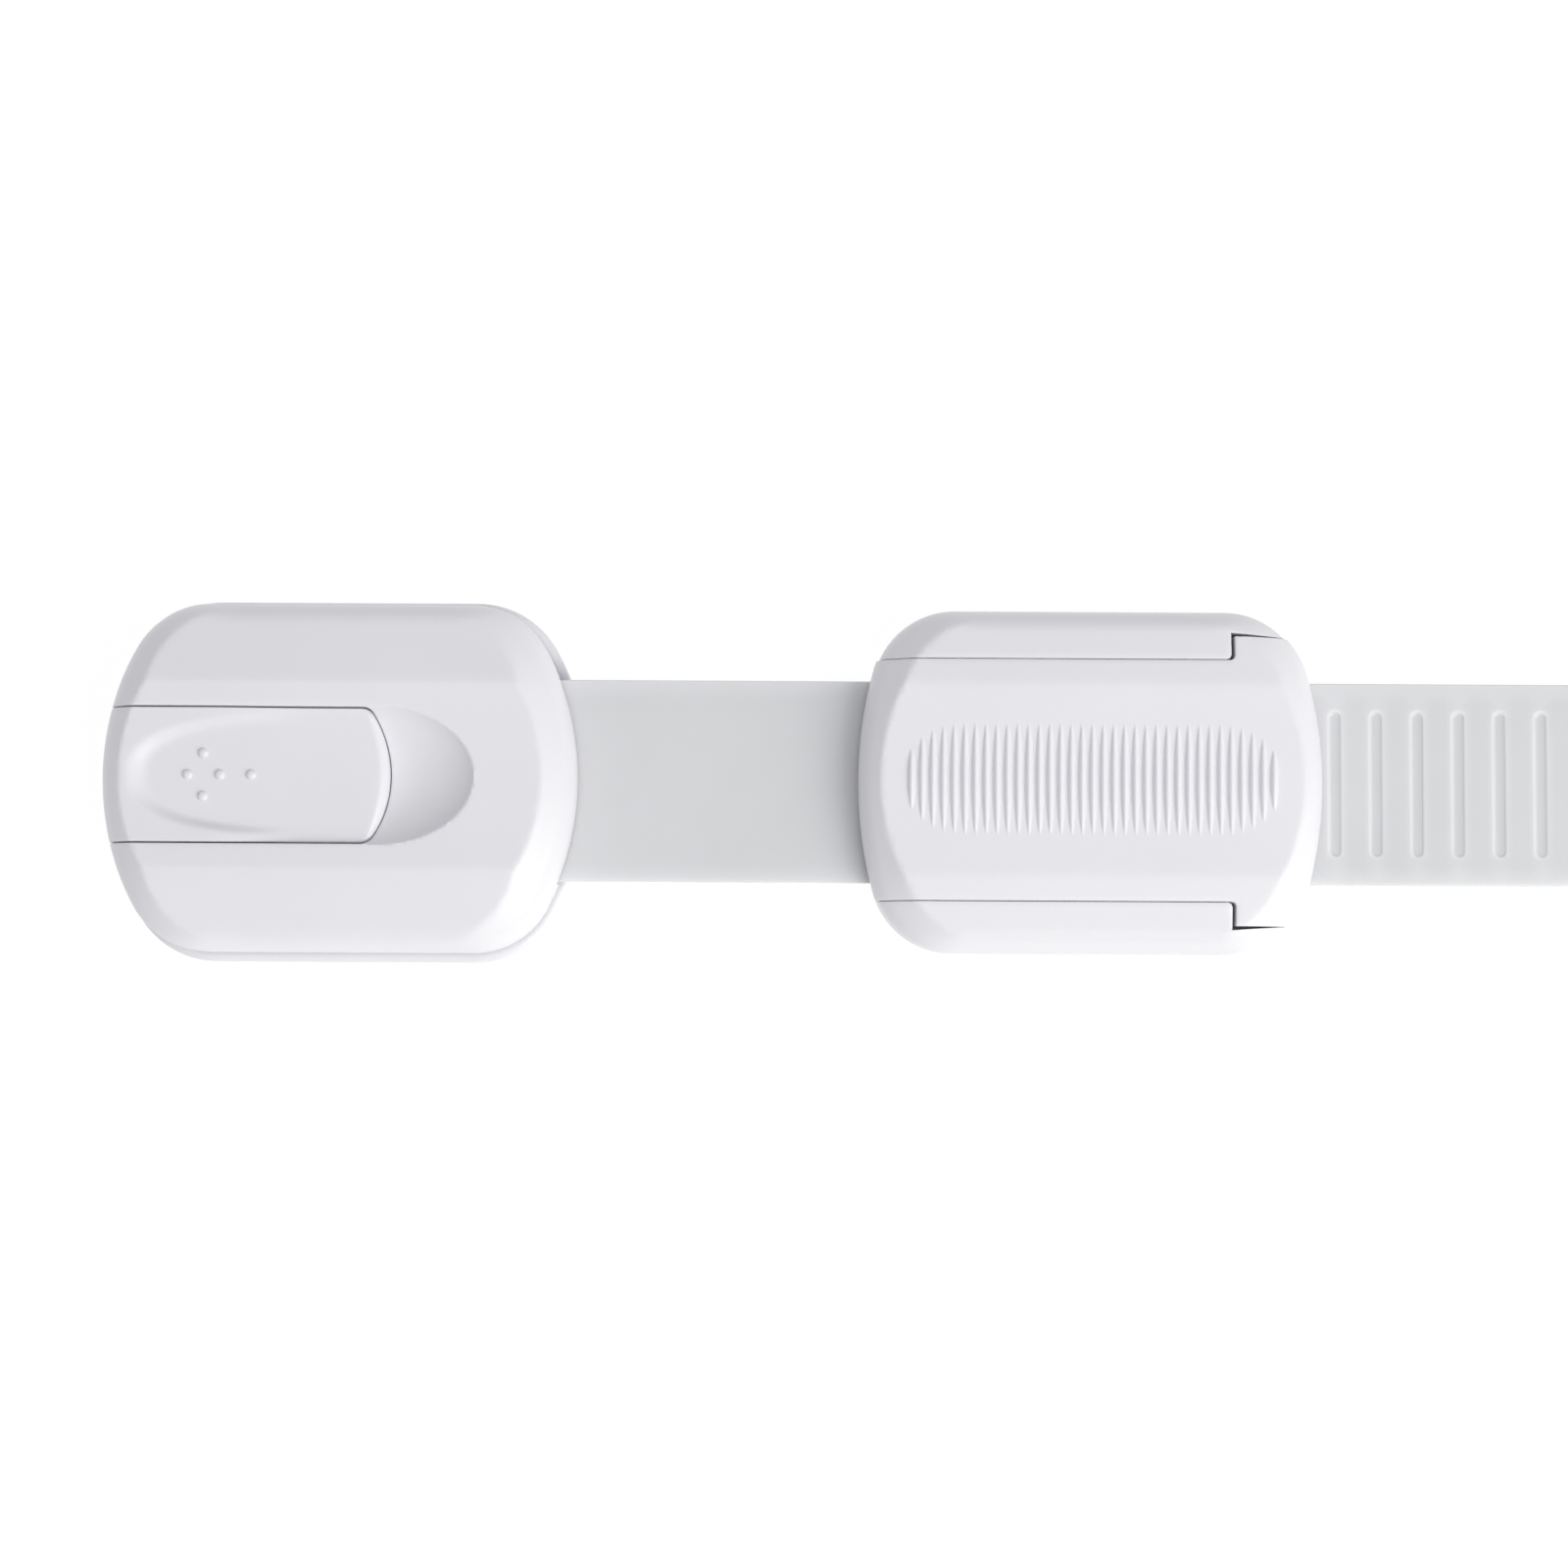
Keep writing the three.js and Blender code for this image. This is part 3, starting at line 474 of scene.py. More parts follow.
# ---------------------------------------------------------------- the two shells' outlines and upper surfaces
def plan_of(node, end_radius, corner_radius=CORNER_RADIUS):
    """An outline that fits a node's box."""
    low, high = low_high(node)
    return Plan(
        (low[0] + high[0]) / 2, (high[0] - low[0]) / 2, (high[1] - low[1]) / 2, end_radius, corner_radius
    )


BEVEL_SLOPE = 0.74
BEVEL_HALF_WIDTH = 15.9
BEVEL_END_RADIUS = 26.0
BEVEL_CORNER_RADIUS = 11.0
LEFT_BLEND = 0.12  # softness of the crease along the left bevel, and of those along the band
RIGHT_BLEND = 0.28
SIDE_EDGE_REACH = 4.0  # how far past the straight sides the rounder edge ends
SIDE_EDGE_FADE = 7.0


def roof(plan, top, band, dip, side_slope, end_bevels, edge_radius, side_radius):
    """A shell's upper surface: a slightly hollow band along the middle, sloping sides and bevelled ends.

    Its edge is round, and rounder along the straight sides than at the ends.
    """
    left, right = (
        Plan(plan.x, plan.half_length - bevel, BEVEL_HALF_WIDTH, BEVEL_END_RADIUS, BEVEL_CORNER_RADIUS)
        for bevel in end_bevels
    )

    def height(x, y, rim=plan, extra_dip=0.0):
        hollow = top - dip * (1 - (y / band) ** 2) - extra_dip
        flat = soft_min(hollow, top - side_slope * (np.abs(y) - band), LEFT_BLEND)
        past = np.where(x < plan.x, left.depth(x, y), right.depth(x, y))
        blend = np.where(x < plan.x, LEFT_BLEND, RIGHT_BLEND)
        on_side = smooth((plan.corner_x + SIDE_EDGE_REACH - np.abs(x - plan.x)) / SIDE_EDGE_FADE)
        radius = edge_radius + (side_radius - edge_radius) * on_side
        return soft_min(flat, top + BEVEL_SLOPE * past, blend) - rounding(rim.depth(x, y), radius)

    return height


HEAD_LOW, HEAD_HIGH = low_high("head_housing")
HEAD_TOP = HEAD_HIGH[2]
HEAD_RIM = HEAD_LOW[2]
HEAD_EDGE = 1.5
HEAD_SIDE_EDGE = 2.4
HEAD = plan_of("head_housing", HEAD_END_RADIUS)
head_roof = roof(
    HEAD, HEAD_TOP, band=10.0, dip=0.5, side_slope=0.21, end_bevels=(2.9, 4.1),
    edge_radius=HEAD_EDGE, side_radius=HEAD_SIDE_EDGE,
)

ADJUSTER_LOW, ADJUSTER_HIGH = low_high("adjuster_housing")
_, LID_HIGH = low_high("sliding_lid")
RIB_HEIGHT = 0.4
ADJUSTER_TOP = LID_HIGH[2] - RIB_HEIGHT
ADJUSTER_EDGE = 1.4
ADJUSTER_SIDE_EDGE = 2.6
ADJUSTER = plan_of("adjuster_housing", ADJUSTER_END_RADIUS)
LID = ADJUSTER.inset(-(LID_HIGH[0] - ADJUSTER_HIGH[0]))
adjuster_roof = roof(
    ADJUSTER, ADJUSTER_TOP, band=10.3, dip=0.22, side_slope=0.17, end_bevels=(2.4, 2.2),
    edge_radius=ADJUSTER_EDGE, side_radius=ADJUSTER_SIDE_EDGE,
)
EDGE_TURNS = 7  # rings round a shell's rounded edge


def crease_seeds(middle_x, distances):
    """Points along both edges of a roof's band, at these distances from the strap's line."""
    along = np.arange(middle_x - 22, middle_x + 22, 0.5)
    return [(x, side * y) for x in along for y in distances for side in (-1, 1)]


_, BUTTON_HIGH = low_high("release_button")
BUTTON_HALF_WIDTH = 7.2
BUTTON_END_RADIUS = 13.7
BUTTON_CORNER = 1.3
BUTTON_SKIRT = 6.3  # lower edge of the button's end wall
BUTTON_CEILING = 10.5  # its underside behind that wall
BUTTON_SIDE_LIP = 0.15  # edge rounding along the button's sides
BUTTON_TIP_LIP = 0.95  # more of it round the tip
TIP_LIP_START, TIP_LIP_FADE = 2.2, 2.8
FAR_LEFT = -60.0


def button_plan(grow=0.0, shift=0.0):
    """The button's outline, grown and moved to the right, a long way open to the left."""
    middle = (BUTTON_HIGH[0] + FAR_LEFT) / 2
    return Plan(
        middle + shift, BUTTON_HIGH[0] - middle + grow, BUTTON_HALF_WIDTH + grow, BUTTON_END_RADIUS + grow,
        BUTTON_CORNER + grow,
    )


BUTTON = button_plan()
BUTTON_SEAM = 0.15  # along the button's sides
BUTTON_TIP_SEAM = 0.07


def slot_plan(grow=0.0):
    """The outline of the button's opening."""
    return button_plan(BUTTON_SEAM + grow, BUTTON_TIP_SEAM - BUTTON_SEAM)


BUTTON_SLOT = slot_plan()

# The thumb dish runs over the button, and deepens into a scoop in the shell to its right.
DISH = {"x": -3.8, "half_length": 18.9, "half_width": 6.5, "power": 2.5, "rim": 0.32, "depth": 0.72}
DISH_END_START, DISH_END_FADE = -14.0, 11.0  # the dish's raised rim fades out from here to the right
SCOOP = {"x": 4.4, "half_length": 10.3, "half_width": 7.4, "power": 2.0, "depth": 2.9}
SCOOP_ROUNDNESS = 0.75


def inside_share(ellipse, x, y):
    """1 at the ellipse's middle, 0 at its rim and beyond."""
    along = np.abs((x - ellipse["x"]) / ellipse["half_length"]) ** ellipse["power"]
    across = np.abs(y / ellipse["half_width"]) ** ellipse["power"]
    return np.clip(1 - along - across, 0, 1)


# ---------------------------------------------------------------- latch head
MOUTH_X = 20.0  # the strap comes out past here
MOUTH_TOP = 7.0
SLOT_LIP = 0.18  # rounding of the edge round the button


def in_head_wall(x, y):
    return HEAD.depth(x, y) < WALL


def head_shell():
    def height(x, y):
        bowl = SCOOP["depth"] * inside_share(SCOOP, x, y) ** SCOOP_ROUNDNESS
        lip = rounding(-BUTTON_SLOT.depth(x, y), SLOT_LIP)
        return head_roof(x, y) - bowl - lip

    def inner(x, y):
        return height(x, y) - WALL

    def in_mouth(x, y):
        return in_head_wall(x, y) & (x > MOUTH_X) & (np.abs(y) < CHANNEL_HALF_WIDTH)

    bevel_rings = rings(HEAD, (1.8, 2.3, 2.8, 3.3, 3.8, 4.3, 4.8), 0.6)
    edge_rings = rings(HEAD, edge_steps(HEAD_EDGE, EDGE_TURNS), 0.45)
    seam_rings = [slot_plan(d).outline(0.4) for d in (0, 0.03, 0.08, SLOT_LIP)]
    mouth = rectangle(MOUTH_X, MOUTH_X + 10, -CHANNEL_HALF_WIDTH, CHANNEL_HALF_WIDTH)
    creases = crease_seeds(0, (9.3, 9.55, 9.8, 10.05))
    round_scoop = grid(3, 16, -8, 8, 0.25, 0.25)
    return stepped_solid(
        "head_shell", bevel_rings + edge_rings + seam_rings + [mouth],
        grid(-25, 25, -18, 18, 0.5, 0.5) + round_scoop + creases,
        lambda x, y: np.minimum(HEAD.depth(x, y), -BUTTON_SLOT.depth(x, y)),
        [(everywhere, height)],
        [(in_mouth, level(MOUTH_TOP)), (in_head_wall, level(HEAD_RIM)), (everywhere, inner)],
    )


# The raised dots on the button, which form an arrow.
DOTS = [(-15.95, 0.0), (-14.3, 2.3), (-14.3, -2.3), (-12.5, 0.0), (-9.15, 0.0)]
DOT_RADIUS = 0.56
DOT_HEIGHT = 0.38
DOT_CLEARANCE = 0.75  # no loose points this near a dot's middle


def slide_button():
    def height(x, y):
        sunk = smooth(inside_share(DISH, np.minimum(x, DISH["x"]), y) / DISH["rim"])
        rim_left = 1 - smooth((x - DISH_END_START) / DISH_END_FADE)
        dish = DISH["depth"] * (1 - (1 - sunk) * rim_left)
        lip_radius = BUTTON_SIDE_LIP + BUTTON_TIP_LIP * smooth((x - TIP_LIP_START) / TIP_LIP_FADE)
        z = head_roof(x, y, extra_dip=dish) - rounding(BUTTON.depth(x, y), lip_radius)
        for dot_x, dot_y in DOTS:
            reach = np.clip(1 - ((x - dot_x) ** 2 + (y - dot_y) ** 2) / DOT_RADIUS ** 2, 0, 1)
            z = z + DOT_HEIGHT * np.sqrt(reach)
        return z

    end_rings = rings(HEAD, edge_steps(HEAD_EDGE, EDGE_TURNS) + [1.8, 2.2, 2.6, 3.0], 0.45)
    seams = [button_plan(-d).outline(0.35) for d in (0, 0.02, 0.07, 0.14, 0.22, 0.34, 0.5, 0.68, 0.9)]
    dots = [circle(x, y, DOT_RADIUS * r, 20) for x, y in DOTS for r in (1.06, 1.0, 0.97, 0.88, 0.7, 0.45)]
    seeds = grid(-25, 5.5, -7.3, 7.3, 0.33, 0.33)
    seeds = [p for p in seeds if min(math.hypot(p[0] - x, p[1] - y) for x, y in DOTS) > DOT_CLEARANCE]
    return stepped_solid(
        "slide_button", end_rings + seams + dots, seeds,
        lambda x, y: np.minimum(HEAD.depth(x, y), BUTTON.depth(x, y)),
        [(everywhere, height)],
        [(in_head_wall, level(BUTTON_SKIRT)), (everywhere, level(BUTTON_CEILING))],
    )


def button_sill():
    """The end wall of the shell under the button."""
    side_gap = 0.1
    edge = 0.2
    half_width = BUTTON_SLOT.half_width - side_gap

    def inside(x, y):
        wall = np.minimum(HEAD.depth(x, y), WALL - HEAD.depth(x, y))
        return np.where(x < HEAD.x, np.minimum(wall, half_width - np.abs(y)), -1)

    def height(x, y):
        return BUTTON_SKIRT - GAP - rounding(HEAD.depth(x, y), edge)

    wall_rings = rings(HEAD, (0, 0.03, 0.1, edge, 1.0, WALL), 0.5)
    sides = rectangle(HEAD.x - 30, HEAD.x, -half_width, half_width)
    return stepped_solid(
        "button_sill", wall_rings + [sides], [], inside,
        [(everywhere, height)], [(everywhere, level(HEAD_RIM))],
    )


# ---------------------------------------------------------------- latch base and foam tape
PLATE_TOP = 3.3
PLATE_EDGE = 0.7
POST_X = -4
PEG_X = 1
PEG_Y = 12.8
LATCH_FOAM_INSET = 0.6
ADJUSTER_FOAM_INSET = 1.2

# Turned profiles, as (radius, height). Both start 0.1 inside the plate.
POST_PROFILE = [
    (0, 3.2), (4.1, 3.2), (3.85, 3.45), (3.0, 4.0), (2.5, 4.6), (2.4, 5.2), (2.4, 7.75), (2.5, 7.85),
    (3.1, 7.85), (3.2, 7.95), (3.2, 8.25), (3.1, 8.45), (2.4, 9.1), (1.8, 9.62), (1.5, 9.78), (0, 9.8),
]
PEG_PROFILE = [(0, 3.2), (2.2, 3.2), (2.0, 3.5), (2.0, 5.0), (1.85, 5.35), (1.5, 5.57), (0, 5.6)]


def base_plate():
    low, _ = low_high("latch_base_plate")
    plan = HEAD.inset(-BASE_FLANGE)

    def height(x, y):
        return PLATE_TOP - rounding(plan.depth(x, y), PLATE_EDGE)

    return stepped_solid(
        "base_plate", rings(plan, edge_steps(PLATE_EDGE), 0.6), grid(-25, 25, -18, 18, 3, 3), plan.depth,
        [(everywhere, height)], [(everywhere, level(low[2]))],
    )


def foam_pad(name, node, shell_end_radius, inset):
    """A foam pad whose outline runs inside its shell's."""
    low, high = low_high(node)
    plan = plan_of(node, shell_end_radius - inset, CORNER_RADIUS - inset)
    edge = 0.18

    def upper(x, y):
        return high[2] - rounding(plan.depth(x, y), edge)

    def lower(x, y):
        return low[2] + rounding(plan.depth(x, y), edge)

    seeds = grid(low[0], high[0], low[1], high[1], 2, 2)
    inner_seeds = [p for p in seeds if plan.depth(*map(np.array, p)) > 0.5]
    return stepped_solid(
        name, rings(plan, edge_steps(edge, 3), 0.8), inner_seeds, plan.depth, [(everywhere, upper)],
        [(everywhere, lower)],
    )


# ---------------------------------------------------------------- adjuster
LID_HALF_WIDTH = 13.0
EAR_HALF_WIDTH = 15.6
EAR_X = ADJUSTER.x + 15.4
PAST_ENDS = 40.0  # well past both ends of the adjuster
EAR_CORNER = 0.5  # where the lid's body widens into its ears


def lid_corners(seam=0.0, ear_gap=0.0, ear_gap_end=0.0):
    """The lid's T-shaped outline, grown by the gaps round it, a long way open at both ends.

    ear_gap is at the ears' left corners, and ear_gap_end where their sides leave the housing.
    """
    left, right = ADJUSTER.x - PAST_ENDS, ADJUSTER.x + PAST_ENDS
    body, ear_x = LID_HALF_WIDTH + seam, EAR_X - ear_gap
    upper = [
        (left, body), (ear_x - EAR_CORNER, body), (ear_x - 0.3 * EAR_CORNER, body + 0.3 * EAR_CORNER),
        (ear_x, body + EAR_CORNER), (ear_x, EAR_HALF_WIDTH + ear_gap),
        (EAR_X + 5, EAR_HALF_WIDTH + ear_gap_end), (right, EAR_HALF_WIDTH + ear_gap_end),
    ]
    return upper + [(x, -y) for x, y in reversed(upper)]


LID_SEAM = 0.08
EAR_GAP = 0.42
EAR_GAP_END = 0.06
LID_LINE = lid_corners()
LID_SLOT_LINE = lid_corners(LID_SEAM, EAR_GAP, EAR_GAP_END)
SEAM_LIP = 0.1  # edge rounding on both sides of the seam round the lid
SEAM_STEPS = (0, 0.03, SEAM_LIP)
END_STEPS = edge_steps(ADJUSTER_EDGE, EDGE_TURNS) + [1.8, 2.2, 2.6, 3.0, 3.5, 4.0]

LID_HOLLOW_HALF_LENGTH = 22.9
LID_HOLLOW_HALF_WIDTH = 11.9
LID_ARCH_HALF_WIDTH = 10.9  # the end walls' part that stands over the strap
LID_ARCH_BOTTOM = 7.2
LID_BOTTOM = 7.6

RIB_COUNT = 35
RIB_PITCH = 1.143
RIB_HALF_WIDTH = 0.45
RIB_REACH = 6.0
RIB_END_REACH = 0.9
RIB_NARROWING = 0.6  # how the ribs' width and height follow their taper
RIB_FALL = 0.8
FULL_RIBS = 12  # ribs on each side of the middle one that are as long as it
END_SPAN = 5.6


def ribs(x, y):
    """The height of the lens-shaped ribs on the lid."""
    middle = (RIB_COUNT - 1) / 2
    number = np.clip(np.round((x - ADJUSTER.x) / RIB_PITCH), -middle, middle)
    away = np.abs(x - ADJUSTER.x - number * RIB_PITCH)
    into_end = np.clip(np.abs(number) - FULL_RIBS, 0, END_SPAN) / END_SPAN
    half_length = RIB_END_REACH + (RIB_REACH - RIB_END_REACH) * np.sqrt(1 - into_end ** 2)
    taper = np.clip(1 - (y / half_length) ** 2, 0, 1)
    half_width = RIB_HALF_WIDTH * np.maximum(taper, 0.02) ** RIB_NARROWING
    ridge = np.clip(1 - (away / half_width) ** 2, 0, 1)
    return RIB_HEIGHT * taper ** RIB_FALL * ridge


def ribbed_lid():
    def height(x, y):
        return adjuster_roof(x, y, LID) + ribs(x, y) - rounding(loop_depth(LID_LINE, x, y), SEAM_LIP)

    def ceiling(x, y):
        return np.minimum(ADJUSTER_TOP, height(x, y)) - WALL

    def at_end(x, y):
        return np.abs(x - ADJUSTER.x) > LID_HOLLOW_HALF_LENGTH

    def in_arch(x, y):
        return at_end(x, y) & (np.abs(y) < LID_ARCH_HALF_WIDTH)

    def in_wall(x, y):
        return at_end(x, y) | (np.abs(y) > LID_HOLLOW_HALF_WIDTH)

    seams = [polyline(lid_corners(-d, -d, -d), 0.4) for d in SEAM_STEPS]
    hollow = rectangle(
        ADJUSTER.x - LID_HOLLOW_HALF_LENGTH, ADJUSTER.x + LID_HOLLOW_HALF_LENGTH,
        -LID_HOLLOW_HALF_WIDTH, LID_HOLLOW_HALF_WIDTH,
    )
    arch = rectangle(
        ADJUSTER.x - PAST_ENDS, ADJUSTER.x + PAST_ENDS, -LID_ARCH_HALF_WIDTH, LID_ARCH_HALF_WIDTH
    )
    offsets = (-0.45, -0.38, -0.28, -0.18, -0.09, 0, 0.09, 0.18, 0.28, 0.38, 0.45, RIB_PITCH / 2)
    line = np.arange(-6.4, 6.41, 0.32)
    rib_lines = [
        (ADJUSTER.x + (i - (RIB_COUNT - 1) / 2) * RIB_PITCH + offset, y)
        for i in range(RIB_COUNT) for offset in offsets for y in line
    ]
    rib_lines += [(ADJUSTER.x - RIB_COUNT / 2 * RIB_PITCH, y) for y in line]
    ribbed_half_length = (RIB_COUNT + 1) / 2 * RIB_PITCH
    ribbed_half_width = 6.6
    around = [
        (x, y) for x, y in grid(ADJUSTER.x - 24.5, ADJUSTER.x + 24.5, -15.4, 15.4, 0.5, 0.5)
        if abs(y) > ribbed_half_width or abs(x - ADJUSTER.x) > ribbed_half_length
    ]
    creases = crease_seeds(ADJUSTER.x, (9.75, 9.95, 10.15, 10.4))
    return stepped_solid(
        "ribbed_lid", rings(LID, END_STEPS, 0.45) + seams + [hollow, arch], rib_lines + around + creases,
        lambda x, y: np.minimum(LID.depth(x, y), loop_depth(LID_LINE, x, y)),
        [(everywhere, height)],
        [(in_arch, level(LID_ARCH_BOTTOM)), (in_wall, level(LID_BOTTOM)), (everywhere, ceiling)],
    )


SHELL_CHANNEL_FLOOR = 5.0
SHELL_UNDER_LID = 7.4
SHELL_INSIDE = 3.4  # underside of the shell inside its wall


def adjuster_shell():
    def height(x, y):
        return adjuster_roof(x, y) - rounding(-loop_depth(LID_SLOT_LINE, x, y), SEAM_LIP)

    def in_channel(x, y):
        return np.abs(y) < CHANNEL_HALF_WIDTH

    def under_lid(x, y):
        return loop_depth(LID_SLOT_LINE, x, y) > 0

    def in_wall(x, y):
        return ADJUSTER.depth(x, y) < WALL

    seams = [polyline(lid_corners(LID_SEAM + d, EAR_GAP + d, EAR_GAP_END + d), 0.4) for d in SEAM_STEPS]
    channel = rectangle(
        ADJUSTER.x - PAST_ENDS, ADJUSTER.x + PAST_ENDS, -CHANNEL_HALF_WIDTH, CHANNEL_HALF_WIDTH
    )
    rails = [
        (x, y) for x, y in grid(ADJUSTER.x - 24.5, ADJUSTER.x + 24.5, -18.5, 18.5, 0.6, 0.6) if abs(y) > 10
    ]
    return stepped_solid(
        "adjuster_shell", rings(ADJUSTER, END_STEPS, 0.45) + seams + [channel], rails, ADJUSTER.depth,
        [(in_channel, level(SHELL_CHANNEL_FLOOR)), (under_lid, level(SHELL_UNDER_LID)), (everywhere, height)],
        [(in_wall, level(ADJUSTER_LOW[2])), (everywhere, level(SHELL_INSIDE))],
    )


BRIDGE = {
    "left": ADJUSTER.x - 12.6, "right": ADJUSTER.x - 9.2, "half_width": 11.6,
    "bottom": 7.1, "top": 8.4, "edge": 0.3,
}


def pawl_bridge():
    """The beam over the strap that carries the pawl."""
    left, right, half_width, edge = (BRIDGE[key] for key in ("left", "right", "half_width", "edge"))
    loops = [rectangle(left + d, right - d, -half_width, half_width, 0.8) for d in (0, 0.1, edge)]

    def depth(x, y):
        return np.minimum(x - left, right - x)

    return stepped_solid(
        "pawl_bridge", loops, [], lambda x, y: np.minimum(depth(x, y), half_width - np.abs(y)),
        [(everywhere, lambda x, y: BRIDGE["top"] - rounding(depth(x, y), edge))],
        [(everywhere, level(BRIDGE["bottom"]))],
    )


# ---------------------------------------------------------------- strap
SLOT_PITCH = 4.48
FIRST_SLOT_X = 63.15
SLOT_COUNT = 22
SLOT_HALF_LENGTH = 8.3
SLOT_FLOOR = 0.42  # half width of a slot's flat floor
SLOT_WALL = 0.58  # half width at the top of its walls
SLOT_RIM = 1.02  # half width of the shallow rim round it
SLOT_DEPTH = 0.13
SLOT_RIM_DEPTH = 0.06
STRAP_CORNER = 5.0
STRAP_EDGE = 0.16

# How much lighter or darker the strap's colour is there: a painted highlight along its edges and round each
# slot's rim, and painted shade on each slot's floor.
PAINTED_EDGE_HIGHLIGHT = 0.08
PAINTED_EDGE_HIGHLIGHT_WIDTH = 2.2
PAINTED_RIM_HIGHLIGHT = 0.14
PAINTED_RIM_HIGHLIGHT_HALF_WIDTH = 0.3
PAINTED_FLOOR_SHADE = 0.05
PAINTED_FLOOR_SHADE_FADE = 0.12


def strap():
    low, high = low_high("strap_tail")
    start_x = low_high("strap_lead")[0][0]
    half_width = high[1]

    def depth(x, y):
        side = half_width - np.abs(y)
        tip = high[0] - x
        corner_x, corner_y = high[0] - STRAP_CORNER, half_width - STRAP_CORNER
        round_tip = STRAP_CORNER - np.hypot(x - corner_x, np.abs(y) - corner_y)
        in_corner = (x > corner_x) & (np.abs(y) > corner_y)
        return np.where(in_corner, round_tip, np.minimum(np.minimum(side, tip), x - start_x))

    def slot_away(x, y):
        number = np.clip(np.round((x - FIRST_SLOT_X) / SLOT_PITCH), 0, SLOT_COUNT - 1)
        reach = SLOT_HALF_LENGTH - SLOT_RIM
        return np.hypot(x - FIRST_SLOT_X - number * SLOT_PITCH, np.maximum(np.abs(y) - reach, 0))

    def upper(x, y):
        away = slot_away(x, y)
        rim = SLOT_RIM_DEPTH * smooth((SLOT_RIM - away) / (SLOT_RIM - SLOT_WALL))
        wall = (SLOT_DEPTH - SLOT_RIM_DEPTH) * smooth((SLOT_WALL - away) / (SLOT_WALL - SLOT_FLOOR))
        return high[2] - rim - wall - rounding(depth(x, y), STRAP_EDGE)

    def lower(x, y):
        return low[2] + rounding(depth(x, y), STRAP_EDGE)

    def outline(inset):
        tip = high[0] - inset
        half = half_width - inset
        radius = STRAP_CORNER - inset
        arc = [
            (tip - radius + radius * math.sin(a), radius * math.cos(a) + half - radius)
            for a in np.linspace(0, math.pi / 2, 10)
        ]
        upper_half = [(start_x + inset, half)] + arc
        return polyline(upper_half + [(x, -y) for x, y in reversed(upper_half)], 0.8)

    def stadium(x, radius):
        reach = SLOT_HALF_LENGTH - SLOT_RIM
        turns = np.linspace(0, math.pi, 9)
        far = [(x + radius * math.cos(a), reach + radius * math.sin(a)) for a in turns]
        near = [(x - radius * math.cos(a), -reach - radius * math.sin(a)) for a in turns]
        return polyline(far + near, 1.6)

    radii = [*np.linspace(SLOT_FLOOR, SLOT_WALL, 5), *np.linspace(SLOT_WALL, SLOT_RIM, 5)[1:]]
    slots = [stadium(FIRST_SLOT_X + i * SLOT_PITCH, radius) for i in range(SLOT_COUNT) for radius in radii]
    plain = grid(start_x + 1, FIRST_SLOT_X - 2, -10, 10, 0.6, 1.0)
    between = [
        (FIRST_SLOT_X + (i + 0.5) * SLOT_PITCH + dx, y)
        for i in range(SLOT_COUNT) for dx in (-0.8, 0, 0.8) for y in np.arange(-10, 10.1, 1.0)
    ]
    piece = stepped_solid(
        "strap", [outline(d) for d in edge_steps(STRAP_EDGE, 4)] + slots, plain + between, depth,
        [(everywhere, upper)], [(everywhere, lower)],
    )
    # Painted light in the strap's colour: a painted highlight along its edges and round each slot's rim, and
    # painted shade on each slot's floor, these two only on its upper face.
    places = np.array([vertex.co for vertex in piece.data.vertices]) / MM
    away = slot_away(places[:, 0], places[:, 1])
    on_top = places[:, 2] > (low[2] + high[2]) / 2
    painted_rim_highlight = np.clip(1 - np.abs(away - (SLOT_WALL + SLOT_RIM) / 2) / PAINTED_RIM_HIGHLIGHT_HALF_WIDTH, 0, 1)
    painted_floor_shade = smooth((SLOT_WALL - away) / PAINTED_FLOOR_SHADE_FADE)
    painted_edge_highlight = 1 - smooth(depth(places[:, 0], places[:, 1]) / PAINTED_EDGE_HIGHLIGHT_WIDTH)
    painted_light = 1 + PAINTED_EDGE_HIGHLIGHT * painted_edge_highlight + on_top * (PAINTED_RIM_HIGHLIGHT * painted_rim_highlight - PAINTED_FLOOR_SHADE * painted_floor_shade)
    piece.data.attributes.new(PAINTED_LIGHT_ATTRIBUTE, "FLOAT", "POINT").data.foreach_set("value", painted_light)
    return piece


# ---------------------------------------------------------------- the object
place(base_plate(), "latch_base", WHITE, "white_plastic", "latch_base_plate")
place(turned_solid("catch_post", POST_PROFILE, POST_X, 0), "latch_base", WHITE, "white_plastic")
for end, y in (("front", -PEG_Y), ("back", PEG_Y)):
    peg = turned_solid(f"locating_peg_{end}", PEG_PROFILE, PEG_X, y, 32)
    place(peg, "latch_base", WHITE, "white_plastic")
latch_foam = foam_pad("latch_foam", "latch_foam_pad", HEAD_END_RADIUS, LATCH_FOAM_INSET)
place(latch_foam, "latch_base", FOAM, "foam_tape", "latch_foam_pad")
place(head_shell(), "head", WHITE, "white_plastic", "head_housing")
place(button_sill(), "head", WHITE, "white_plastic")
place(slide_button(), "button", WHITE, "white_plastic", "release_button")
adjuster_foam = foam_pad("adjuster_foam", "adjuster_foam_pad", ADJUSTER_END_RADIUS, ADJUSTER_FOAM_INSET)
place(adjuster_foam, "adjuster", FOAM, "foam_tape", "adjuster_foam_pad")
place(adjuster_shell(), "adjuster", WHITE, "white_plastic", "adjuster_housing")
place(pawl_bridge(), "adjuster", WHITE, "white_plastic")
place(ribbed_lid(), "lid", WHITE, "white_plastic", "sliding_lid")
whole_strap = place(strap(), None, STRAP, "strap_plastic", "strap_lead", "strap_tail")
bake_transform(whole_strap)

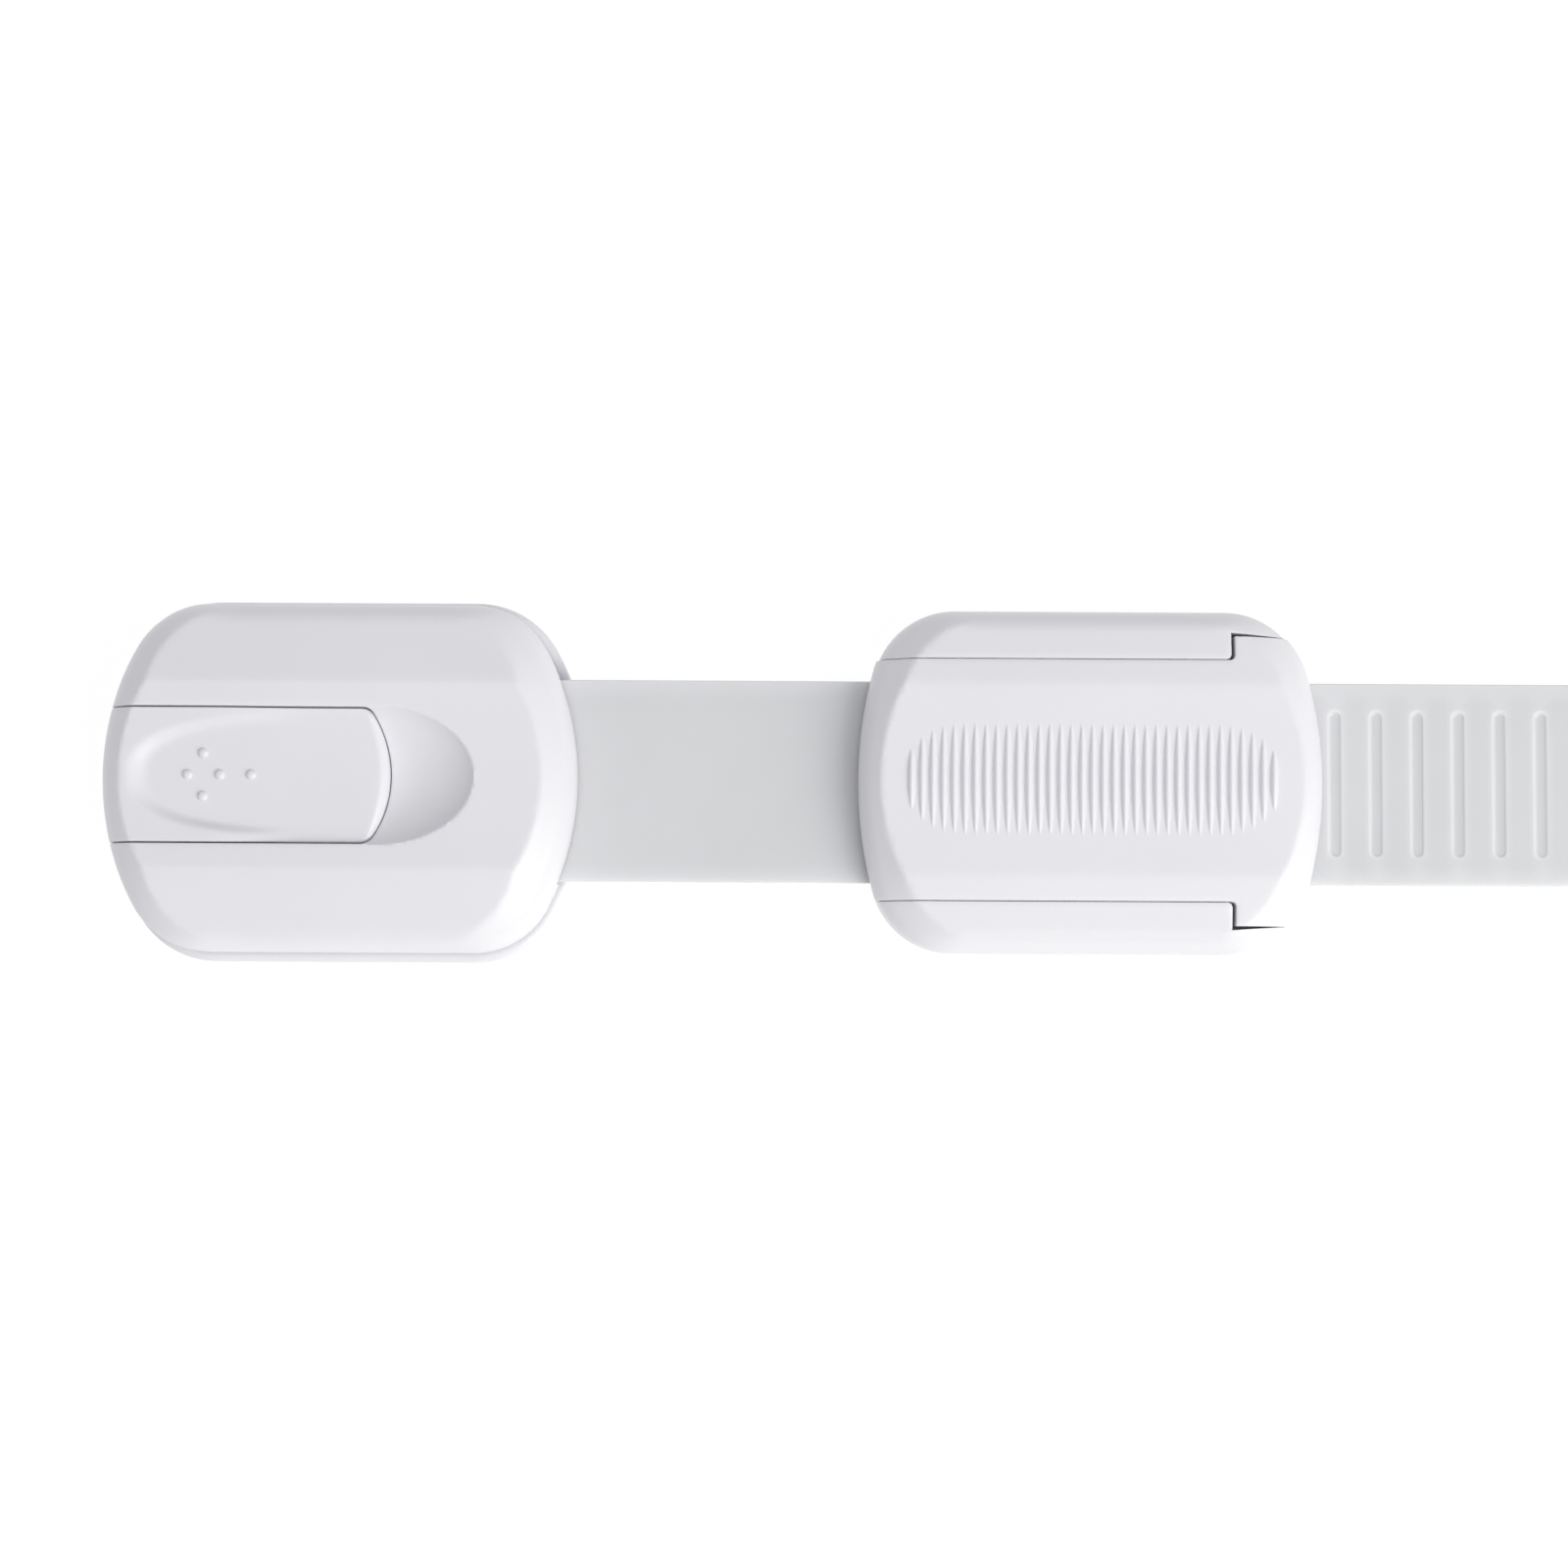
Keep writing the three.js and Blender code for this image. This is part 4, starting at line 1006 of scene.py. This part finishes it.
# CAD solids that keep their shape and get a new material.
KEPT = {
    "head_cover": INNER, "adjuster_base": INNER, "strap_pawl": INNER, "catch_clip": STEEL,
    "button_spring_front": STEEL, "button_spring_back": STEEL,
}
for unit in ("head", "adjuster"):
    for number in range(1, 5):
        KEPT[f"{unit}_screw_{number}"] = STEEL
for node, material in KEPT.items():
    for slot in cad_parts[node].material_slots:
        slot.material = material


# ---------------------------------------------------------------- floor, lights, camera
FLOOR_SIZE = 40
FLOOR_GAP = 0.0001  # between the floor and the foam tape
TARGET = (0.05, 0, 0)  # the lights point here
WORLD_STRENGTH = 0.5


def add_floor():
    bpy.ops.mesh.primitive_plane_add(size=FLOOR_SIZE, location=(0, 0, -FLOOR_GAP))
    floor = bpy.context.object
    floor.name = "floor"
    floor.data.materials.append(floor_paper())


def add_light(name, color, place_at, size, power):
    data = bpy.data.lights.new(name, "AREA")
    data.color = color
    data.shape = "SQUARE"
    data.size = size
    data.energy = power
    light = bpy.data.objects.new(name, data)
    light.location = place_at
    light.rotation_euler = (Vector(TARGET) - Vector(place_at)).to_track_quat("-Z", "Y").to_euler()
    bpy.context.scene.collection.objects.link(light)


def add_world():
    world = bpy.data.worlds.new("studio")
    world.use_nodes = True
    background = world.node_tree.nodes["Background"]
    background.inputs["Color"].default_value = (0.97, 0.98, 1.0, 1)
    background.inputs["Strength"].default_value = WORLD_STRENGTH
    bpy.context.scene.world = world


VIEW_CENTRE = Vector((0.0479, -0.00042, 0.009))
VIEW_DISTANCE = 0.36
VIEW_WIDTH = 0.1696  # the width in view at that distance
VIEW_ELEVATION = math.radians(86)
VIEW_ROLL = math.radians(0.3)


def add_camera():
    data = bpy.data.cameras.new("camera")
    data.lens = data.sensor_width * VIEW_DISTANCE / VIEW_WIDTH
    data.clip_start = 0.01
    camera = bpy.data.objects.new("camera", data)
    away = Vector((0, -math.cos(VIEW_ELEVATION), math.sin(VIEW_ELEVATION)))
    camera.location = VIEW_CENTRE + away * VIEW_DISTANCE
    camera.rotation_mode = "QUATERNION"
    camera.rotation_quaternion = (-away).to_track_quat("-Z", "Y") @ Quaternion((0, 0, 1), VIEW_ROLL)
    bpy.context.scene.collection.objects.link(camera)
    bpy.context.scene.camera = camera


add_floor()
add_world()
add_light("key", color=(1.0, 0.998, 0.955), place_at=(0.54, -0.34, 0.5), size=0.6, power=4.9)
add_light("fill", color=(1.0, 1.0, 1.0), place_at=(0.0, 0.1, 0.9), size=0.9, power=1.2)
add_camera()
bpy.context.scene.view_settings.view_transform = "Standard"
bpy.context.scene.view_settings.look = "None"
